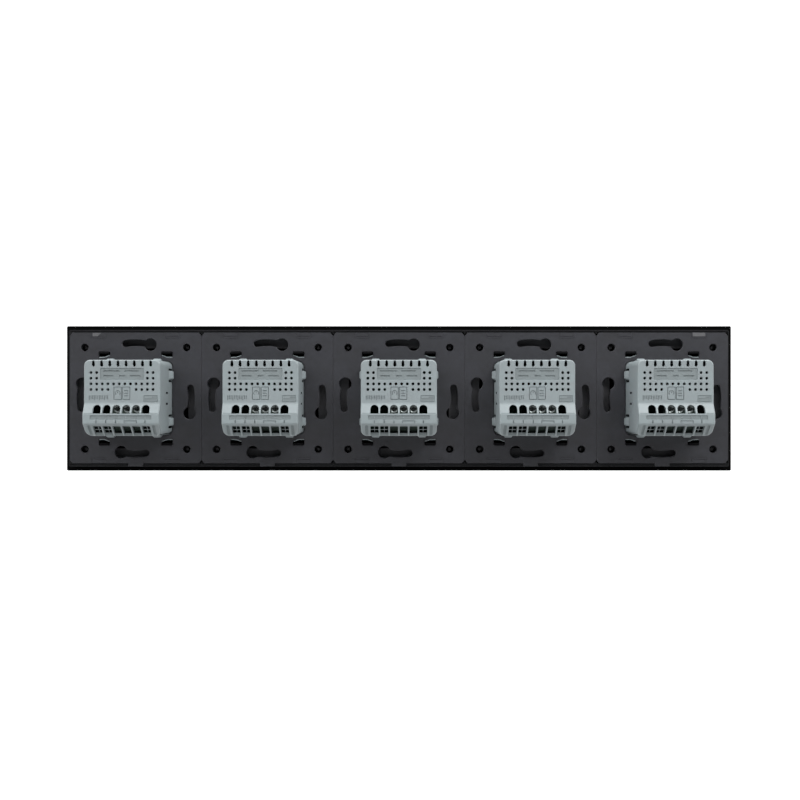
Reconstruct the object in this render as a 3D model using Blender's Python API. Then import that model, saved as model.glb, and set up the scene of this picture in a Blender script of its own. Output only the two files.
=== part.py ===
"""Five-gang touch dimmer switch: one long glass front in a plastic frame, five
mounting plates, and five dimmer modules that stand behind the plates.

Metres, +Z up. The glass front faces -Y and the housings stand towards +Y, so the
rear view looks along -Y. Millimetres are used below and are turned into metres
where points are made. In each gang's own layout:
    u  runs to the right as seen from the rear (it is -X)
    h  is the distance behind the wall plane (it is +Y), the wall plane being the
       rear face of the mounting plates
    z  is up
"""

import math

import bmesh
import bpy
from mathutils import Matrix, Vector

MM = 0.001

# ---------------------------------------------------------------- dimensions
GANGS = 5
PITCH = 71.0                    # standard distance between gangs

GLASS_L, GLASS_H = 363.0, 79.0
GLASS_FRONT, GLASS_BACK = -10.8, -6.8
GLASS_CORNER, GLASS_CHAMFER = 1.6, 0.5

SKIRT_OUT_X, SKIRT_OUT_Z = 178.1, 36.9
SKIRT_IN_X, SKIRT_IN_Z = 177.45, 36.1
SKIRT_FRONT, SKIRT_FLOOR, SKIRT_REAR = -6.7, -5.5, -0.3
SKIRT_CORNER = 1.5
WINDOW_X, WINDOW_Z = 32.5, 31.0  # half sizes of the openings in its floor

PLATE_X = 35.35
PLATE_TOP, PLATE_BOTTOM = 35.5, -35.0
PLATE_T = 2.0
PLATE_CORNER = 1.8
NOTCH_IN, NOTCH_OUT, NOTCH_DEEP = 16.4, 23.3, 2.2
TAB_HALF, TAB_END = 4.0, -36.7
FIX_R = 30.0                    # fixing screws on a 60 mm circle
SLOT_W = 3.6
KEY_R = 3.2
SLOT_FROM, SLOT_TO = -10.0, 15.3   # degrees from the top, round hole at the second
SCREW_HOLE_R, SCREW_HOLE_AT = 1.9, 27.45
LATCH_U0, LATCH_U1, LATCH_Z0, LATCH_Z1 = 13.9, 19.9, 21.9, 25.1
LATCH_BEND_U, LATCH_BEND_Z = 17.4, 0.95   # the slot's inner edge rises from here inwards

HOUSE_U, HOUSE_TOP, HOUSE_BOTTOM = 19.55, 19.75, -19.45
HOUSE_CORNER = 3.0
WALL = 1.5
HIGH, UPPER = 28.0, 25.4        # rear faces: terminal end, and the rest
STEP_Z0, STEP_Z1 = -2.7, -7.8   # slanted face between them
BEVEL_Z = -13.15                # 45 degree face from here to the bottom wall
FLANGE_U = 21.5                 # flange in front of the plate
FLANGE_SHOW = 0.35              # its edge, seen past the inner edge of the latch slots
FLANGE_FRONT, FLANGE_REAR = -3.4, -2.2
PLATE_CLEAR = 0.3

WAYS = 6                        # terminal positions, three of them fitted
WAY_PITCH = 5.0
FITTED = (2, 3, 4)
ARCH_W, ARCH_TOP = 3.8, -3.35
ENTRY_W, ENTRY_Z0, ENTRY_Z1 = 3.7, -14.45, -18.9
DOT_PITCH, DOT_R = 2.893, 0.62
VENT_PITCH, VENT_W, VENT_Z = 4.19, 1.15, 16.3
BARB_AT, BARB_HALF, BARB_OUT = 12.45, 2.15, 1.55
RELIEF_AT, RELIEF_W, RELIEF_H = (9.2, 15.35), 1.0, 6.8

COVER_HALF, COVER_CORNER = 26.5, 4.0
COVER_FRONT, COVER_FLOOR, COVER_REAR = -6.5, -5.4, -2.3
COVER_WALL = 1.3
ELECTRODE_R = 6.0

SCREW_Z = -5.3
SCREW_SHANK_R, SCREW_HEAD_R = 1.1, 1.75
SCREW_SEAT, SCREW_HEAD_T, SCREW_TIP = 20.2, 1.8, 13.4
THREAD_PITCH = 0.5              # the clamp rises 2.5 mm in five turns
CAGE_U, CAGE_Z0, CAGE_Z1 = 1.7, -7.0, -4.2
CAGE_LOW, CAGE_HIGH = 9.2, 15.8

# The middle of the depth is the frame's origin, so the wall plane lies before it.
WALL_Y = -(HIGH + GLASS_FRONT) / 2


# ---------------------------------------------------------------- mesh helpers
def at(u, h, z):
    return Vector((-u * MM, (h + WALL_Y) * MM, z * MM))


def face_out(bm):
    bmesh.ops.recalc_face_normals(bm, faces=bm.faces[:])
    return bm


def ring_faces(bm, rings):
    """Closed body through rings of points that have equal counts."""
    loops = [[bm.verts.new(p) for p in ring] for ring in rings]
    for low, high in zip(loops, loops[1:]):
        for i in range(len(low)):
            j = (i + 1) % len(low)
            bm.faces.new((low[i], low[j], high[j], high[i]))
    bm.faces.new(list(reversed(loops[0])))
    bm.faces.new(loops[-1])


def prism_h(bm, outline, h0, h1):
    """Outline of (u, z), through the depth."""
    ring_faces(bm, [[at(u, h, z) for u, z in outline] for h in (h0, h1)])


def prism_u(bm, outline, u0, u1):
    """Outline of (z, h), across the width."""
    ring_faces(bm, [[at(u, h, z) for z, h in outline] for u in (u0, u1)])


def prism_z(bm, outline, z0, z1):
    """Outline of (u, h), through the height."""
    ring_faces(bm, [[at(u, h, z) for u, h in outline] for z in (z0, z1)])


def box(bm, u0, u1, h0, h1, z0, z1):
    prism_h(bm, [(u0, z0), (u1, z0), (u1, z1), (u0, z1)], h0, h1)


def round_rect(u0, u1, z0, z1, r, steps):
    points = []
    for cu, cz, start in (
        (u1 - r, z1 - r, 0),
        (u0 + r, z1 - r, 90),
        (u0 + r, z0 + r, 180),
        (u1 - r, z0 + r, 270),
    ):
        for i in range(steps + 1):
            a = math.radians(start + 90 * i / steps)
            points.append((cu + r * math.cos(a), cz + r * math.sin(a)))
    return points


def circle(cu, cz, r, sides, turn=0.0):
    return [
        (
            cu + r * math.cos(turn + 2 * math.pi * i / sides),
            cz + r * math.sin(turn + 2 * math.pi * i / sides),
        )
        for i in range(sides)
    ]


def mesh_of(name, fill):
    bm = bmesh.new()
    fill(bm)
    face_out(bm)
    mesh = bpy.data.meshes.new(name)
    bm.to_mesh(mesh)
    bm.free()
    return mesh


def helper(name, fill):
    obj = bpy.data.objects.new(name, mesh_of(name, fill))
    bpy.context.scene.collection.objects.link(obj)
    obj.hide_render = True
    obj.display_type = "WIRE"
    return obj


def carved(name, base, steps):
    """The mesh of base after Boolean steps of (operation, shape). A shape is a
    function that fills a bmesh, or a mesh that is already made."""
    body = helper(name + "_blank", base)
    used = [body]
    for n, (operation, shape) in enumerate(steps):
        if callable(shape):
            tool = helper(f"{name}_tool_{n}", shape)
        else:
            tool = bpy.data.objects.new(f"{name}_tool_{n}", shape)
            bpy.context.scene.collection.objects.link(tool)
            tool.hide_render = True
        used.append(tool)
        cut = body.modifiers.new(f"step_{n}", "BOOLEAN")
        cut.operation = operation
        cut.solver = "EXACT"
        cut.object = tool
    bpy.context.view_layer.update()
    graph = bpy.context.evaluated_depsgraph_get()
    mesh = bpy.data.meshes.new_from_object(body.evaluated_get(graph))
    mesh.name = name
    mesh.materials.clear()
    for obj in used:
        bpy.data.objects.remove(obj)
    return mesh


def material(name, colour, roughness, metallic=0.0):
    mat = bpy.data.materials.new(name)
    mat.use_nodes = True
    shader = mat.node_tree.nodes["Principled BSDF"]
    shader.inputs["Base Color"].default_value = (*colour, 1.0)
    shader.inputs["Roughness"].default_value = roughness
    shader.inputs["Metallic"].default_value = metallic
    mat.diffuse_color = (*colour, 1.0)
    return mat


def place(name, mesh, mat, parent=None, location=(0.0, 0.0, 0.0)):
    if not mesh.materials:
        mesh.materials.append(mat)
    mesh.shade_smooth()
    mesh.set_sharp_from_angle(angle=math.radians(32))
    obj = bpy.data.objects.new(name, mesh)
    bpy.context.scene.collection.objects.link(obj)
    obj.parent = parent
    obj.location = location
    return obj


def shifted(mesh, offset):
    """A mesh drawn about the gang's middle, moved so that its origin is at offset."""
    mesh.transform(Matrix.Translation(-offset))
    return mesh


# ---------------------------------------------------------------- front panel
def glass_mesh():
    def fill(bm):
        x, z = GLASS_L / 2, GLASS_H / 2
        inset = GLASS_CHAMFER
        full = round_rect(-x, x, -z, z, GLASS_CORNER, 3)
        less = round_rect(
            -x + inset, x - inset, -z + inset, z - inset, GLASS_CORNER - inset, 3
        )
        ring_faces(
            bm,
            [
                [at(u, GLASS_BACK, w) for u, w in full],
                [at(u, GLASS_FRONT + inset, w) for u, w in full],
                [at(u, GLASS_FRONT, w) for u, w in less],
            ],
        )

    return mesh_of("glass_panel", fill)


def gang_u(n):
    return (3 - n) * PITCH


def skirt_mesh():
    def blank(bm):
        prism_h(
            bm,
            round_rect(-SKIRT_OUT_X, SKIRT_OUT_X, -SKIRT_OUT_Z, SKIRT_OUT_Z, SKIRT_CORNER, 3),
            SKIRT_FRONT,
            SKIRT_REAR,
        )

    def hollow(bm):
        prism_h(
            bm,
            round_rect(-SKIRT_IN_X, SKIRT_IN_X, -SKIRT_IN_Z, SKIRT_IN_Z, 0.8, 2),
            SKIRT_FLOOR,
            SKIRT_REAR + 3,
        )

    def windows(bm):
        for n in range(1, GANGS + 1):
            c = gang_u(n)
            prism_h(
                bm,
                round_rect(c - WINDOW_X, c + WINDOW_X, -WINDOW_Z, WINDOW_Z, 3.0, 2),
                SKIRT_FRONT - 2,
                SKIRT_FLOOR + 1,
            )

    def tongues(bm):
        """Retaining tongues that stand in the plates' edge notches."""
        for n in range(1, GANGS + 1):
            for side in (-1, 1):
                low, high = sorted((side * (NOTCH_IN + 0.3), side * (NOTCH_OUT - 0.3)))
                c = gang_u(n)
                box(bm, c + low, c + high, -6.1, -0.5, PLATE_TOP - NOTCH_DEEP + 0.3, 36.5)
                box(bm, c + low, c + high, -6.1, -0.5, -36.5, PLATE_BOTTOM + NOTCH_DEEP - 0.3)

    def pry_slots(bm):
        for n in range(1, GANGS + 1):
            c = gang_u(n)
            box(bm, c - TAB_HALF - 0.4, c + TAB_HALF + 0.4, -2.4, 2.0, -39.0, -35.6)

    return carved(
        "panel_frame",
        blank,
        [
            ("DIFFERENCE", hollow),
            ("DIFFERENCE", windows),
            ("UNION", tongues),
            ("DIFFERENCE", pry_slots),
        ],
    )


# ---------------------------------------------------------------- plate
def plate_outline():
    """Rounded corners, four edge notches and the pry tab at the bottom middle."""
    r, x, top, bottom = PLATE_CORNER, PLATE_X, PLATE_TOP, PLATE_BOTTOM
    points = []

    def corner(cu, cz, start):
        for i in range(3):
            a = math.radians(start + 45 * i)
            points.append((cu + r * math.cos(a), cz + r * math.sin(a)))

    corner(x - r, top - r, 0)
    for a, b in ((NOTCH_OUT, NOTCH_IN), (-NOTCH_IN, -NOTCH_OUT)):
        points += [(a, top), (a, top - NOTCH_DEEP), (b, top - NOTCH_DEEP), (b, top)]
    corner(-x + r, top - r, 90)
    corner(-x + r, bottom + r, 180)
    a, b = -NOTCH_OUT, -NOTCH_IN
    points += [(a, bottom), (a, bottom + NOTCH_DEEP), (b, bottom + NOTCH_DEEP), (b, bottom)]
    points += [(-TAB_HALF, bottom), (-TAB_HALF, TAB_END), (TAB_HALF, TAB_END), (TAB_HALF, bottom)]
    a, b = NOTCH_IN, NOTCH_OUT
    points += [(a, bottom), (a, bottom + NOTCH_DEEP), (b, bottom + NOTCH_DEEP), (b, bottom)]
    corner(x - r, bottom + r, 270)
    return points


def keyhole(turn):
    """Arc slot on the fixing circle that ends in a round hole, turned by quarter
    turns. Angles run clockwise from the top."""
    half = SLOT_W / 2

    def polar(radius, degrees):
        a = math.radians(degrees + turn)
        return (radius * math.sin(a), radius * math.cos(a))

    cu, cz = polar(FIX_R, SLOT_FROM)
    out = []
    for k in range(4):     # rounded blind end of the slot
        a = math.radians(SLOT_FROM + turn + 180 + 60 * k)
        out.append((cu + half * math.sin(a), cz + half * math.cos(a)))
    # From the end's outer side along the outer edge to the round hole, round it,
    # and back along the inner edge.
    reach = math.degrees(math.sqrt(KEY_R**2 - half**2) / FIX_R)
    outer = [polar(FIX_R + half, SLOT_FROM + (SLOT_TO - reach - SLOT_FROM) * k / 2) for k in (1, 2)]
    inner = [polar(FIX_R - half, SLOT_FROM + (SLOT_TO - reach - SLOT_FROM) * k / 2) for k in (2, 1)]
    hu, hz = polar(FIX_R, SLOT_TO)
    open_half = math.degrees(math.asin(half / KEY_R))
    hole = []
    for k in range(1, 8):
        a = math.radians(SLOT_TO + turn - 90 + open_half + (360 - 2 * open_half) * k / 8)
        hole.append((hu + KEY_R * math.sin(a), hz + KEY_R * math.cos(a)))
    # The blind end runs from the inner side round to the outer side.
    start = [p for p in out]
    if math.dist((0, 0), start[0]) > math.dist((0, 0), start[-1]):
        start.reverse()
    return start + outer + hole + inner


def plate_mesh():
    def blank(bm):
        prism_h(bm, plate_outline(), -PLATE_T, 0.0)

    def openings(bm):
        gap = PLATE_CLEAR
        prism_h(
            bm,
            round_rect(
                -HOUSE_U - gap,
                HOUSE_U + gap,
                HOUSE_BOTTOM - gap,
                HOUSE_TOP + gap,
                HOUSE_CORNER,
                2,
            ),
            -PLATE_T - 1,
            1.0,
        )
        for su in (-1, 1):
            for sz in (-1, 1):
                prism_h(
                    bm,
                    circle(su * SCREW_HOLE_AT, sz * SCREW_HOLE_AT, SCREW_HOLE_R, 8),
                    -PLATE_T - 1,
                    1.0,
                )
                prism_h(
                    bm,
                    [
                        (su * LATCH_U1, sz * LATCH_Z1),
                        (su * LATCH_U0, sz * LATCH_Z1),
                        (su * LATCH_U0, sz * (LATCH_Z0 + LATCH_BEND_Z)),
                        (su * LATCH_BEND_U, sz * LATCH_Z0),
                        (su * LATCH_U1, sz * LATCH_Z0),
                    ],
                    -PLATE_T - 1,
                    1.0,
                )
        for quarter in range(4):
            prism_h(bm, keyhole(90 * quarter), -PLATE_T - 1, 1.0)

    return carved("mounting_plate", blank, [("DIFFERENCE", openings)])


# ---------------------------------------------------------------- rear housing
def profile(depth):
    """The rear faces' line in (z, h), moved inwards by depth."""
    su, sh = STEP_Z1 - STEP_Z0, HIGH - UPPER
    length = math.hypot(su, sh)
    nz, nh = sh / length, -su / length
    c = nz * STEP_Z0 + nh * UPPER - depth
    low, high = UPPER - depth, HIGH - depth
    bevel = HIGH - BEVEL_Z - depth * math.sqrt(2)   # h - z on the 45 degree face
    return [
        (30.0, low),
        ((c - nh * low) / nz, low),
        ((c - nh * high) / nz, high),
        (high - bevel, high),
        (-30.0, bevel - 30.0),
    ]


def above(depth):
    return profile(depth) + [(-30.0, 45.0), (30.0, 45.0)]


def way_u(i):
    return (i - (WAYS - 1) / 2) * WAY_PITCH


def arch(cu):
    r = ARCH_W / 2
    points = [(cu - r, STEP_Z1), (cu + r, STEP_Z1)]
    for k in range(6):
        a = math.radians(180 * k / 5)
        points.append((cu + r * math.cos(a), ARCH_TOP - r + r * math.sin(a)))
    return points


def dot_places():
    for row in range(4):
        z = 13.18 - DOT_PITCH * row
        for i in range(12):
            column = min(i, 11 - i)
            if (row < 2 and column > 1) or (row == 3 and column > 3):
                continue
            yield (i - 5.5) * DOT_PITCH, z


def housing_mesh():
    inner = {
        "u": HOUSE_U - WALL,
        "top": HOUSE_TOP - WALL,
        "bottom": HOUSE_BOTTOM + WALL,
    }

    def blank(bm):
        prism_h(
            bm,
            round_rect(-HOUSE_U, HOUSE_U, HOUSE_BOTTOM, HOUSE_TOP, HOUSE_CORNER, 3),
            FLANGE_FRONT + 0.6,
            33.0,
        )

    def beyond(bm):
        prism_u(bm, above(0.0), -30.0, 30.0)

    def flange(bm):
        low = LATCH_Z0 + FLANGE_SHOW
        quarter = [
            (FLANGE_U, low - 1.5),
            (FLANGE_U - 1.5, low),
            (LATCH_BEND_U, low),
            (LATCH_U0, low + LATCH_BEND_Z),
        ]
        outline = quarter + [(-u, z) for u, z in reversed(quarter)]
        outline += [(-u, -z) for u, z in outline]
        prism_h(bm, outline, FLANGE_FRONT, FLANGE_REAR)

    def barbs(bm):
        """Snap barbs behind the plate, two on each wall."""
        shape = [(0.4, -0.4), (0.4, 0.75), (2.2, BARB_OUT), (3.4, BARB_OUT), (6.2, -0.4)]
        for side in (-1, 1):
            a, b = side * BARB_AT - BARB_HALF, side * BARB_AT + BARB_HALF
            prism_u(bm, [(HOUSE_TOP + out, h) for h, out in shape], a, b)
            prism_u(bm, [(HOUSE_BOTTOM - out, h) for h, out in shape], a, b)
            prism_z(bm, [(HOUSE_U + out, h) for h, out in shape], a, b)
            prism_z(bm, [(-HOUSE_U - out, h) for h, out in shape], a, b)

    def room(bm):
        prism_h(
            bm,
            round_rect(-inner["u"], inner["u"], inner["bottom"], inner["top"], 1.6, 2),
            FLANGE_FRONT - 2,
            33.0,
        )

    cavity = carved(
        "housing_room",
        room,
        [("DIFFERENCE", lambda bm: prism_u(bm, above(WALL), -29.0, 29.0))],
    )

    def through(bm):
        for u, z in dot_places():
            prism_h(bm, circle(u, z, DOT_R, 4, math.pi / 4), UPPER - WALL - 1, UPPER + 1)
        for i in range(8):
            u = (i - 3.5) * VENT_PITCH
            box(bm, u - VENT_W / 2, u + VENT_W / 2, 18.5, UPPER + 1, VENT_Z, HOUSE_TOP + 1)
        for i in range(WAYS):
            u = way_u(i)
            prism_h(bm, arch(u), UPPER - WALL - 1, HIGH + 1)
            if i in FITTED:
                spans = [(ENTRY_Z1, ENTRY_Z0)]
            else:
                spans = [(-17.55, -16.5), (-15.65, -14.6)]
            for z0, z1 in spans:
                box(bm, u - ENTRY_W / 2, u + ENTRY_W / 2, 19.5, HIGH + 1, z0, z1)
        for side in (-1, 1):
            for place_at in RELIEF_AT:
                c = side * place_at
                a, b = c - RELIEF_W / 2, c + RELIEF_W / 2
                box(bm, a, b, 0.2, RELIEF_H, inner["top"] - 0.5, HOUSE_TOP + 1)
                box(bm, a, b, 0.2, RELIEF_H, HOUSE_BOTTOM - 1, inner["bottom"] + 0.5)
                box(bm, inner["u"] - 0.5, HOUSE_U + 1, 0.2, RELIEF_H, a, b)
                box(bm, -HOUSE_U - 1, -inner["u"] + 0.5, 0.2, RELIEF_H, a, b)

    return carved(
        "rear_housing",
        blank,
        [
            ("DIFFERENCE", beyond),
            ("UNION", flange),
            ("UNION", barbs),
            ("DIFFERENCE", cavity),
            ("DIFFERENCE", through),
        ],
    )


# ---------------------------------------------------------------- module cover
def cover_mesh():
    half = COVER_HALF

    def blank(bm):
        prism_h(bm, round_rect(-half, half, -half, half, COVER_CORNER, 2), COVER_FRONT, COVER_REAR)

    def pocket(bm):
        less = half - COVER_WALL
        prism_h(
            bm,
            round_rect(-less, less, -less, less, COVER_CORNER - COVER_WALL, 2),
            COVER_FLOOR,
            COVER_REAR + 2,
        )

    def window(bm):
        prism_h(bm, circle(0, 0, ELECTRODE_R + 1.0, 10), COVER_FRONT - 1, COVER_FLOOR + 1)

    def arms(bm):
        """Spring arms through the plate, each with a lip over its rear face."""
        inner, outer = LATCH_Z1 - 1.0, LATCH_Z1 - 0.3
        shape = [
            (inner, COVER_FLOOR - 0.5),
            (outer, COVER_FLOOR - 0.5),
            (outer, 0.25),
            (outer + 0.6, 0.25),
            (outer + 0.6, 0.45),
            (outer, 0.95),
            (inner, 0.95),
        ]
        for su in (-1, 1):
            a, b = sorted((su * (LATCH_U0 + 0.35), su * (LATCH_U1 - 0.35)))
            prism_u(bm, shape, a, b)
            prism_u(bm, [(-z, h) for z, h in shape], a, b)

    return carved(
        "module_cover",
        blank,
        [("DIFFERENCE", pocket), ("DIFFERENCE", window), ("UNION", arms)],
    )


# ---------------------------------------------------------------- boards
def touch_board_mesh():
    def blank(bm):
        box(bm, -20.0, 20.0, -5.1, -4.1, -20.0, 20.0)

    def parts(bm):
        prism_h(bm, circle(0, 0, ELECTRODE_R, 10), -6.6, -4.6)     # touch electrode
        box(bm, 9.0, 14.0, -4.5, -3.3, -3.0, 2.0)                  # touch controller
        box(bm, -14.0, -10.5, -4.5, -3.5, -8.0, -6.0)              # light source
        box(bm, -9.0, -4.0, -4.5, -2.6, 9.5, 12.0)                 # socket strip

    return carved("touch_board", blank, [("UNION", parts)])


def block_outline():
    return [(-2.9, 2.6), (-2.9, 23.6), (-14.8, 23.6), (-17.2, 21.2), (-17.2, 2.6)]


def power_board_mesh():
    first, last = way_u(FITTED[0]), way_u(FITTED[-1])

    def blank(bm):
        box(bm, -17.5, 17.5, 1.5, 3.1, -17.4, 17.7)

    def block(bm):
        prism_u(bm, block_outline(), first - 2.6, last + 2.6)

    def components(bm):
        prism_h(bm, circle(9.5, 10.5, 4.0, 8), 2.6, 15.5)         # reservoir capacitor
        prism_h(bm, circle(-1.0, 8.0, 4.8, 8), 2.6, 8.6)          # choke
        box(bm, -16.0, -6.5, 2.6, 12.5, 12.0, 16.5)                # power semiconductor
        box(bm, -15.6, -11.6, 2.6, 9.5, -2.0, 8.0)                 # fuse
        box(bm, 4.0, 9.0, -3.9, 2.0, 14.0, 16.2)                   # pin strip to the front

    def wells(bm):
        for i in FITTED:
            u = way_u(i)
            prism_h(bm, circle(u, SCREW_Z, 2.1, 8, math.pi / 8), 20.0, 25.0)
            # Clamp chamber and the wire's way in through the sloping side.
            prism_u(
                bm,
                [
                    (-3.9, 18.6),
                    (-8.4, 18.6),
                    (-15.4, 25.6),
                    (-19.4, 21.4),
                    (-8.4, 10.4),
                    (-8.4, 8.5),
                    (-3.9, 8.5),
                ],
                u - 1.95,
                u + 1.95,
            )

    def shafts(bm):
        for i in FITTED:
            prism_h(bm, circle(way_u(i), SCREW_Z, 1.45, 8), 18.0, 21.0)

    return carved(
        "power_board",
        blank,
        [
            ("UNION", block),
            ("UNION", components),
            ("DIFFERENCE", wells),
            ("DIFFERENCE", shafts),
        ],
    )


def screw_mesh():
    sides = 8

    def ring(r, h):
        return [at(u, h, z) for u, z in circle(0.0, SCREW_Z, r, sides)]

    top = SCREW_SEAT + SCREW_HEAD_T

    def blank(bm):
        ring_faces(
            bm,
            [
                ring(SCREW_SHANK_R * 0.7, SCREW_TIP),
                ring(SCREW_SHANK_R, SCREW_TIP + 0.4),
                ring(SCREW_SHANK_R, SCREW_SEAT),
                ring(SCREW_HEAD_R, SCREW_SEAT),
                ring(SCREW_HEAD_R, top - 0.2),
                ring(SCREW_HEAD_R - 0.2, top),
            ],
        )

    def slot(bm):
        box(bm, -3.0, 3.0, top - 0.8, top + 1, SCREW_Z - 0.28, SCREW_Z + 0.28)

    return carved("terminal_screw", blank, [("DIFFERENCE", slot)])


def cage_mesh():
    def blank(bm):
        box(bm, -CAGE_U, CAGE_U, CAGE_LOW, CAGE_HIGH, CAGE_Z0, CAGE_Z1)

    def wire_way(bm):
        box(bm, -1.15, 1.15, CAGE_LOW + 1.0, CAGE_HIGH - 1.0, CAGE_Z0 - 1, CAGE_Z1 + 1)

    def thread(bm):
        prism_h(bm, circle(0, SCREW_Z, 1.36, 8), CAGE_HIGH - 2, CAGE_HIGH + 1)

    return carved("clamp_cage", blank, [("DIFFERENCE", wire_way), ("DIFFERENCE", thread)])


# ---------------------------------------------------------------- assembly
def main():
    for obj in list(bpy.data.objects):
        bpy.data.objects.remove(obj, do_unlink=True)
    scene = bpy.context.scene
    scene.unit_settings.system = "METRIC"
    scene.unit_settings.scale_length = 1.0

    looks = {
        "glass": material("black_glass", (0.006, 0.006, 0.008), 0.08),
        "frame": material("dark_frame_plastic", (0.045, 0.045, 0.05), 0.5),
        "plate": material("dark_plate_plastic", (0.055, 0.055, 0.06), 0.5),
        "housing": material("grey_housing_plastic", (0.34, 0.38, 0.39), 0.45),
        "cover": material("black_cover_plastic", (0.012, 0.012, 0.014), 0.5),
        "board": material("green_board", (0.02, 0.09, 0.04), 0.45),
        "power": material("terminal_board", (0.02, 0.05, 0.035), 0.5),
        "screw": material("plated_screw_steel", (0.36, 0.37, 0.36), 0.35, 1.0),
        "cage": material("plated_brass", (0.55, 0.5, 0.36), 0.35, 1.0),
    }

    place("glass_panel", glass_mesh(), looks["glass"])
    place("panel_frame", skirt_mesh(), looks["frame"])

    plate, housing, cover = plate_mesh(), housing_mesh(), cover_mesh()
    touch, power = touch_board_mesh(), power_board_mesh()
    axis = at(0.0, SCREW_SEAT, SCREW_Z)
    screw, cage = shifted(screw_mesh(), axis), shifted(cage_mesh(), axis)

    for n in range(1, GANGS + 1):
        gang = bpy.data.objects.new(f"gang_{n}", None)
        gang.empty_display_size = 0.01
        scene.collection.objects.link(gang)
        gang.location = (-gang_u(n) * MM, 0.0, 0.0)
        place(f"mounting_plate_{n}", plate, looks["plate"], gang)
        place(f"rear_housing_{n}", housing, looks["housing"], gang)
        place(f"module_cover_{n}", cover, looks["cover"], gang)
        place(f"touch_board_{n}", touch, looks["board"], gang)
        place(f"power_board_{n}", power, looks["power"], gang)
        for letter, i in zip("abc", reversed(FITTED)):
            spot = axis + Vector((-way_u(i) * MM, 0.0, 0.0))
            place(f"terminal_screw_{n}_{letter}", screw, looks["screw"], gang, spot)
            place(f"clamp_cage_{n}_{letter}", cage, looks["cage"], gang, spot)


main()
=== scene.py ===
"""Looks of the five-gang touch dimmer switch, seen from the rear.

Millimetres in each gang's own layout, as in the part's design:
    u  runs to the right as seen from the rear (it is -X)
    h  is the distance behind the wall plane (it is +Y)
    z  is up
"""

import math

import bmesh
import bpy
from mathutils import Matrix, Vector


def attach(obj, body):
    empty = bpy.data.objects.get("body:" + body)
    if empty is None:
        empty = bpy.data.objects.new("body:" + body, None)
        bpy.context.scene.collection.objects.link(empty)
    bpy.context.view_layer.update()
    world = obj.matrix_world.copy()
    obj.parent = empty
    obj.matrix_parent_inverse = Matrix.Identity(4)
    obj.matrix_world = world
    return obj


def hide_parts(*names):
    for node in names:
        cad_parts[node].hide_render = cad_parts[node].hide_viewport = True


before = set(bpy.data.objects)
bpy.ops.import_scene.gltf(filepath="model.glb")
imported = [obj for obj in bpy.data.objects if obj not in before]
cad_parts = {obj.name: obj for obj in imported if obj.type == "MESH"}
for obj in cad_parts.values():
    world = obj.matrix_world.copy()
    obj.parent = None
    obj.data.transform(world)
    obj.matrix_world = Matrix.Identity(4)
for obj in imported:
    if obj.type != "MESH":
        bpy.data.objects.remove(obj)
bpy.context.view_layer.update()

MM = 0.001
WALL_Y = -8.6
PITCH = 71.0
GANGS = (1, 2, 3, 4, 5)

# ------------------------------------------------------------ design values
GLASS_U, GLASS_Z, GLASS_R = 181.5, 39.5, 0.7
GLASS_FRONT, GLASS_BACK = -10.8, -6.8
SKIRT_OUT_U, SKIRT_OUT_Z, SKIRT_IN_U, SKIRT_IN_Z = 178.1, 36.9, 177.6, 36.1
LEDGE, LEDGE_TOP, LEDGE_BOTTOM, WINDOW, POST_AT = -0.6, 35.66, -35.16, 27.0, 27.45
SKIRT_FRONT, SKIRT_FLOOR, SKIRT_REAR = -6.7, -5.5, -0.3
PLATE_U, PLATE_TOP, PLATE_BOTTOM, PLATE_T = 35.47, 35.5, -35.0, 2.0
NOTCH_IN, NOTCH_OUT, NOTCH_DEEP = 16.4, 23.3, 2.2
TAB_HALF, TAB_END = 4.0, -36.7
FIX_R, SLOT_W, KEY_R, SLOT_FROM, SLOT_TO = 30.0, 3.6, 3.35, -10.7, 15.3
CORNER_U, CORNER_Z, ROUND_HOLE = 1.45, 1.9, 2.05
LATCH_U0, LATCH_U1, LATCH_Z0, LATCH_Z1 = 13.9, 19.9, 21.9, 25.1
LATCH_BEND_U, LATCH_BEND_Z = 17.4, 0.95
HOUSE_U, HOUSE_TOP, HOUSE_BOTTOM, HOUSE_R, WALL = 19.55, 19.75, -19.45, 3.0, 1.5
HIGH, UPPER, STEP_Z0, STEP_Z1, BEVEL_Z = 28.0, 25.4, -2.7, -7.8, -13.15
WAYS, WAY_PITCH, FITTED = 6, 5.0, (2, 3, 4)
SCREW_Z = -5.3
TROUGH, TROUGH_WALL = 1.35, 2.3
LABEL_DEEP, BAND_DEEP, MARK_DEEP = 0.28, 0.35, 0.50
ARCH_R, WAY_HALF = 2.08, 2.04
COVER_HALF, COVER_R, COVER_FRONT, COVER_FLOOR, COVER_REAR, COVER_WALL, ELECTRODE = 26.5, 4.0, -6.5, -5.4, -2.3, 1.3, 6.0


# ------------------------------------------------------------ mesh tools
def at(u, h, z):
    return Vector((-u * MM, (h + WALL_Y) * MM, z * MM))


def rings(bm, loops, caps=True):
    made = [[bm.verts.new(p) for p in loop] for loop in loops]
    for low, high in zip(made, made[1:]):
        for i in range(len(low)):
            j = (i + 1) % len(low)
            bm.faces.new((low[i], low[j], high[j], high[i]))
    if caps:
        bm.faces.new(list(reversed(made[0])))
        bm.faces.new(made[-1])
    return made


def prism_h(bm, outline, *hs):
    return rings(bm, [[at(u, h, z) for u, z in outline] for h in hs])


def prism_u(bm, outline, u0, u1):
    return rings(bm, [[at(u, h, z) for z, h in outline] for u in (u0, u1)])


def prism_z(bm, outline, z0, z1):
    return rings(bm, [[at(u, h, z) for u, h in outline] for z in (z0, z1)])


def box(bm, u0, u1, h0, h1, z0, z1):
    return prism_h(bm, [(u0, z0), (u1, z0), (u1, z1), (u0, z1)], h0, h1)


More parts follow.
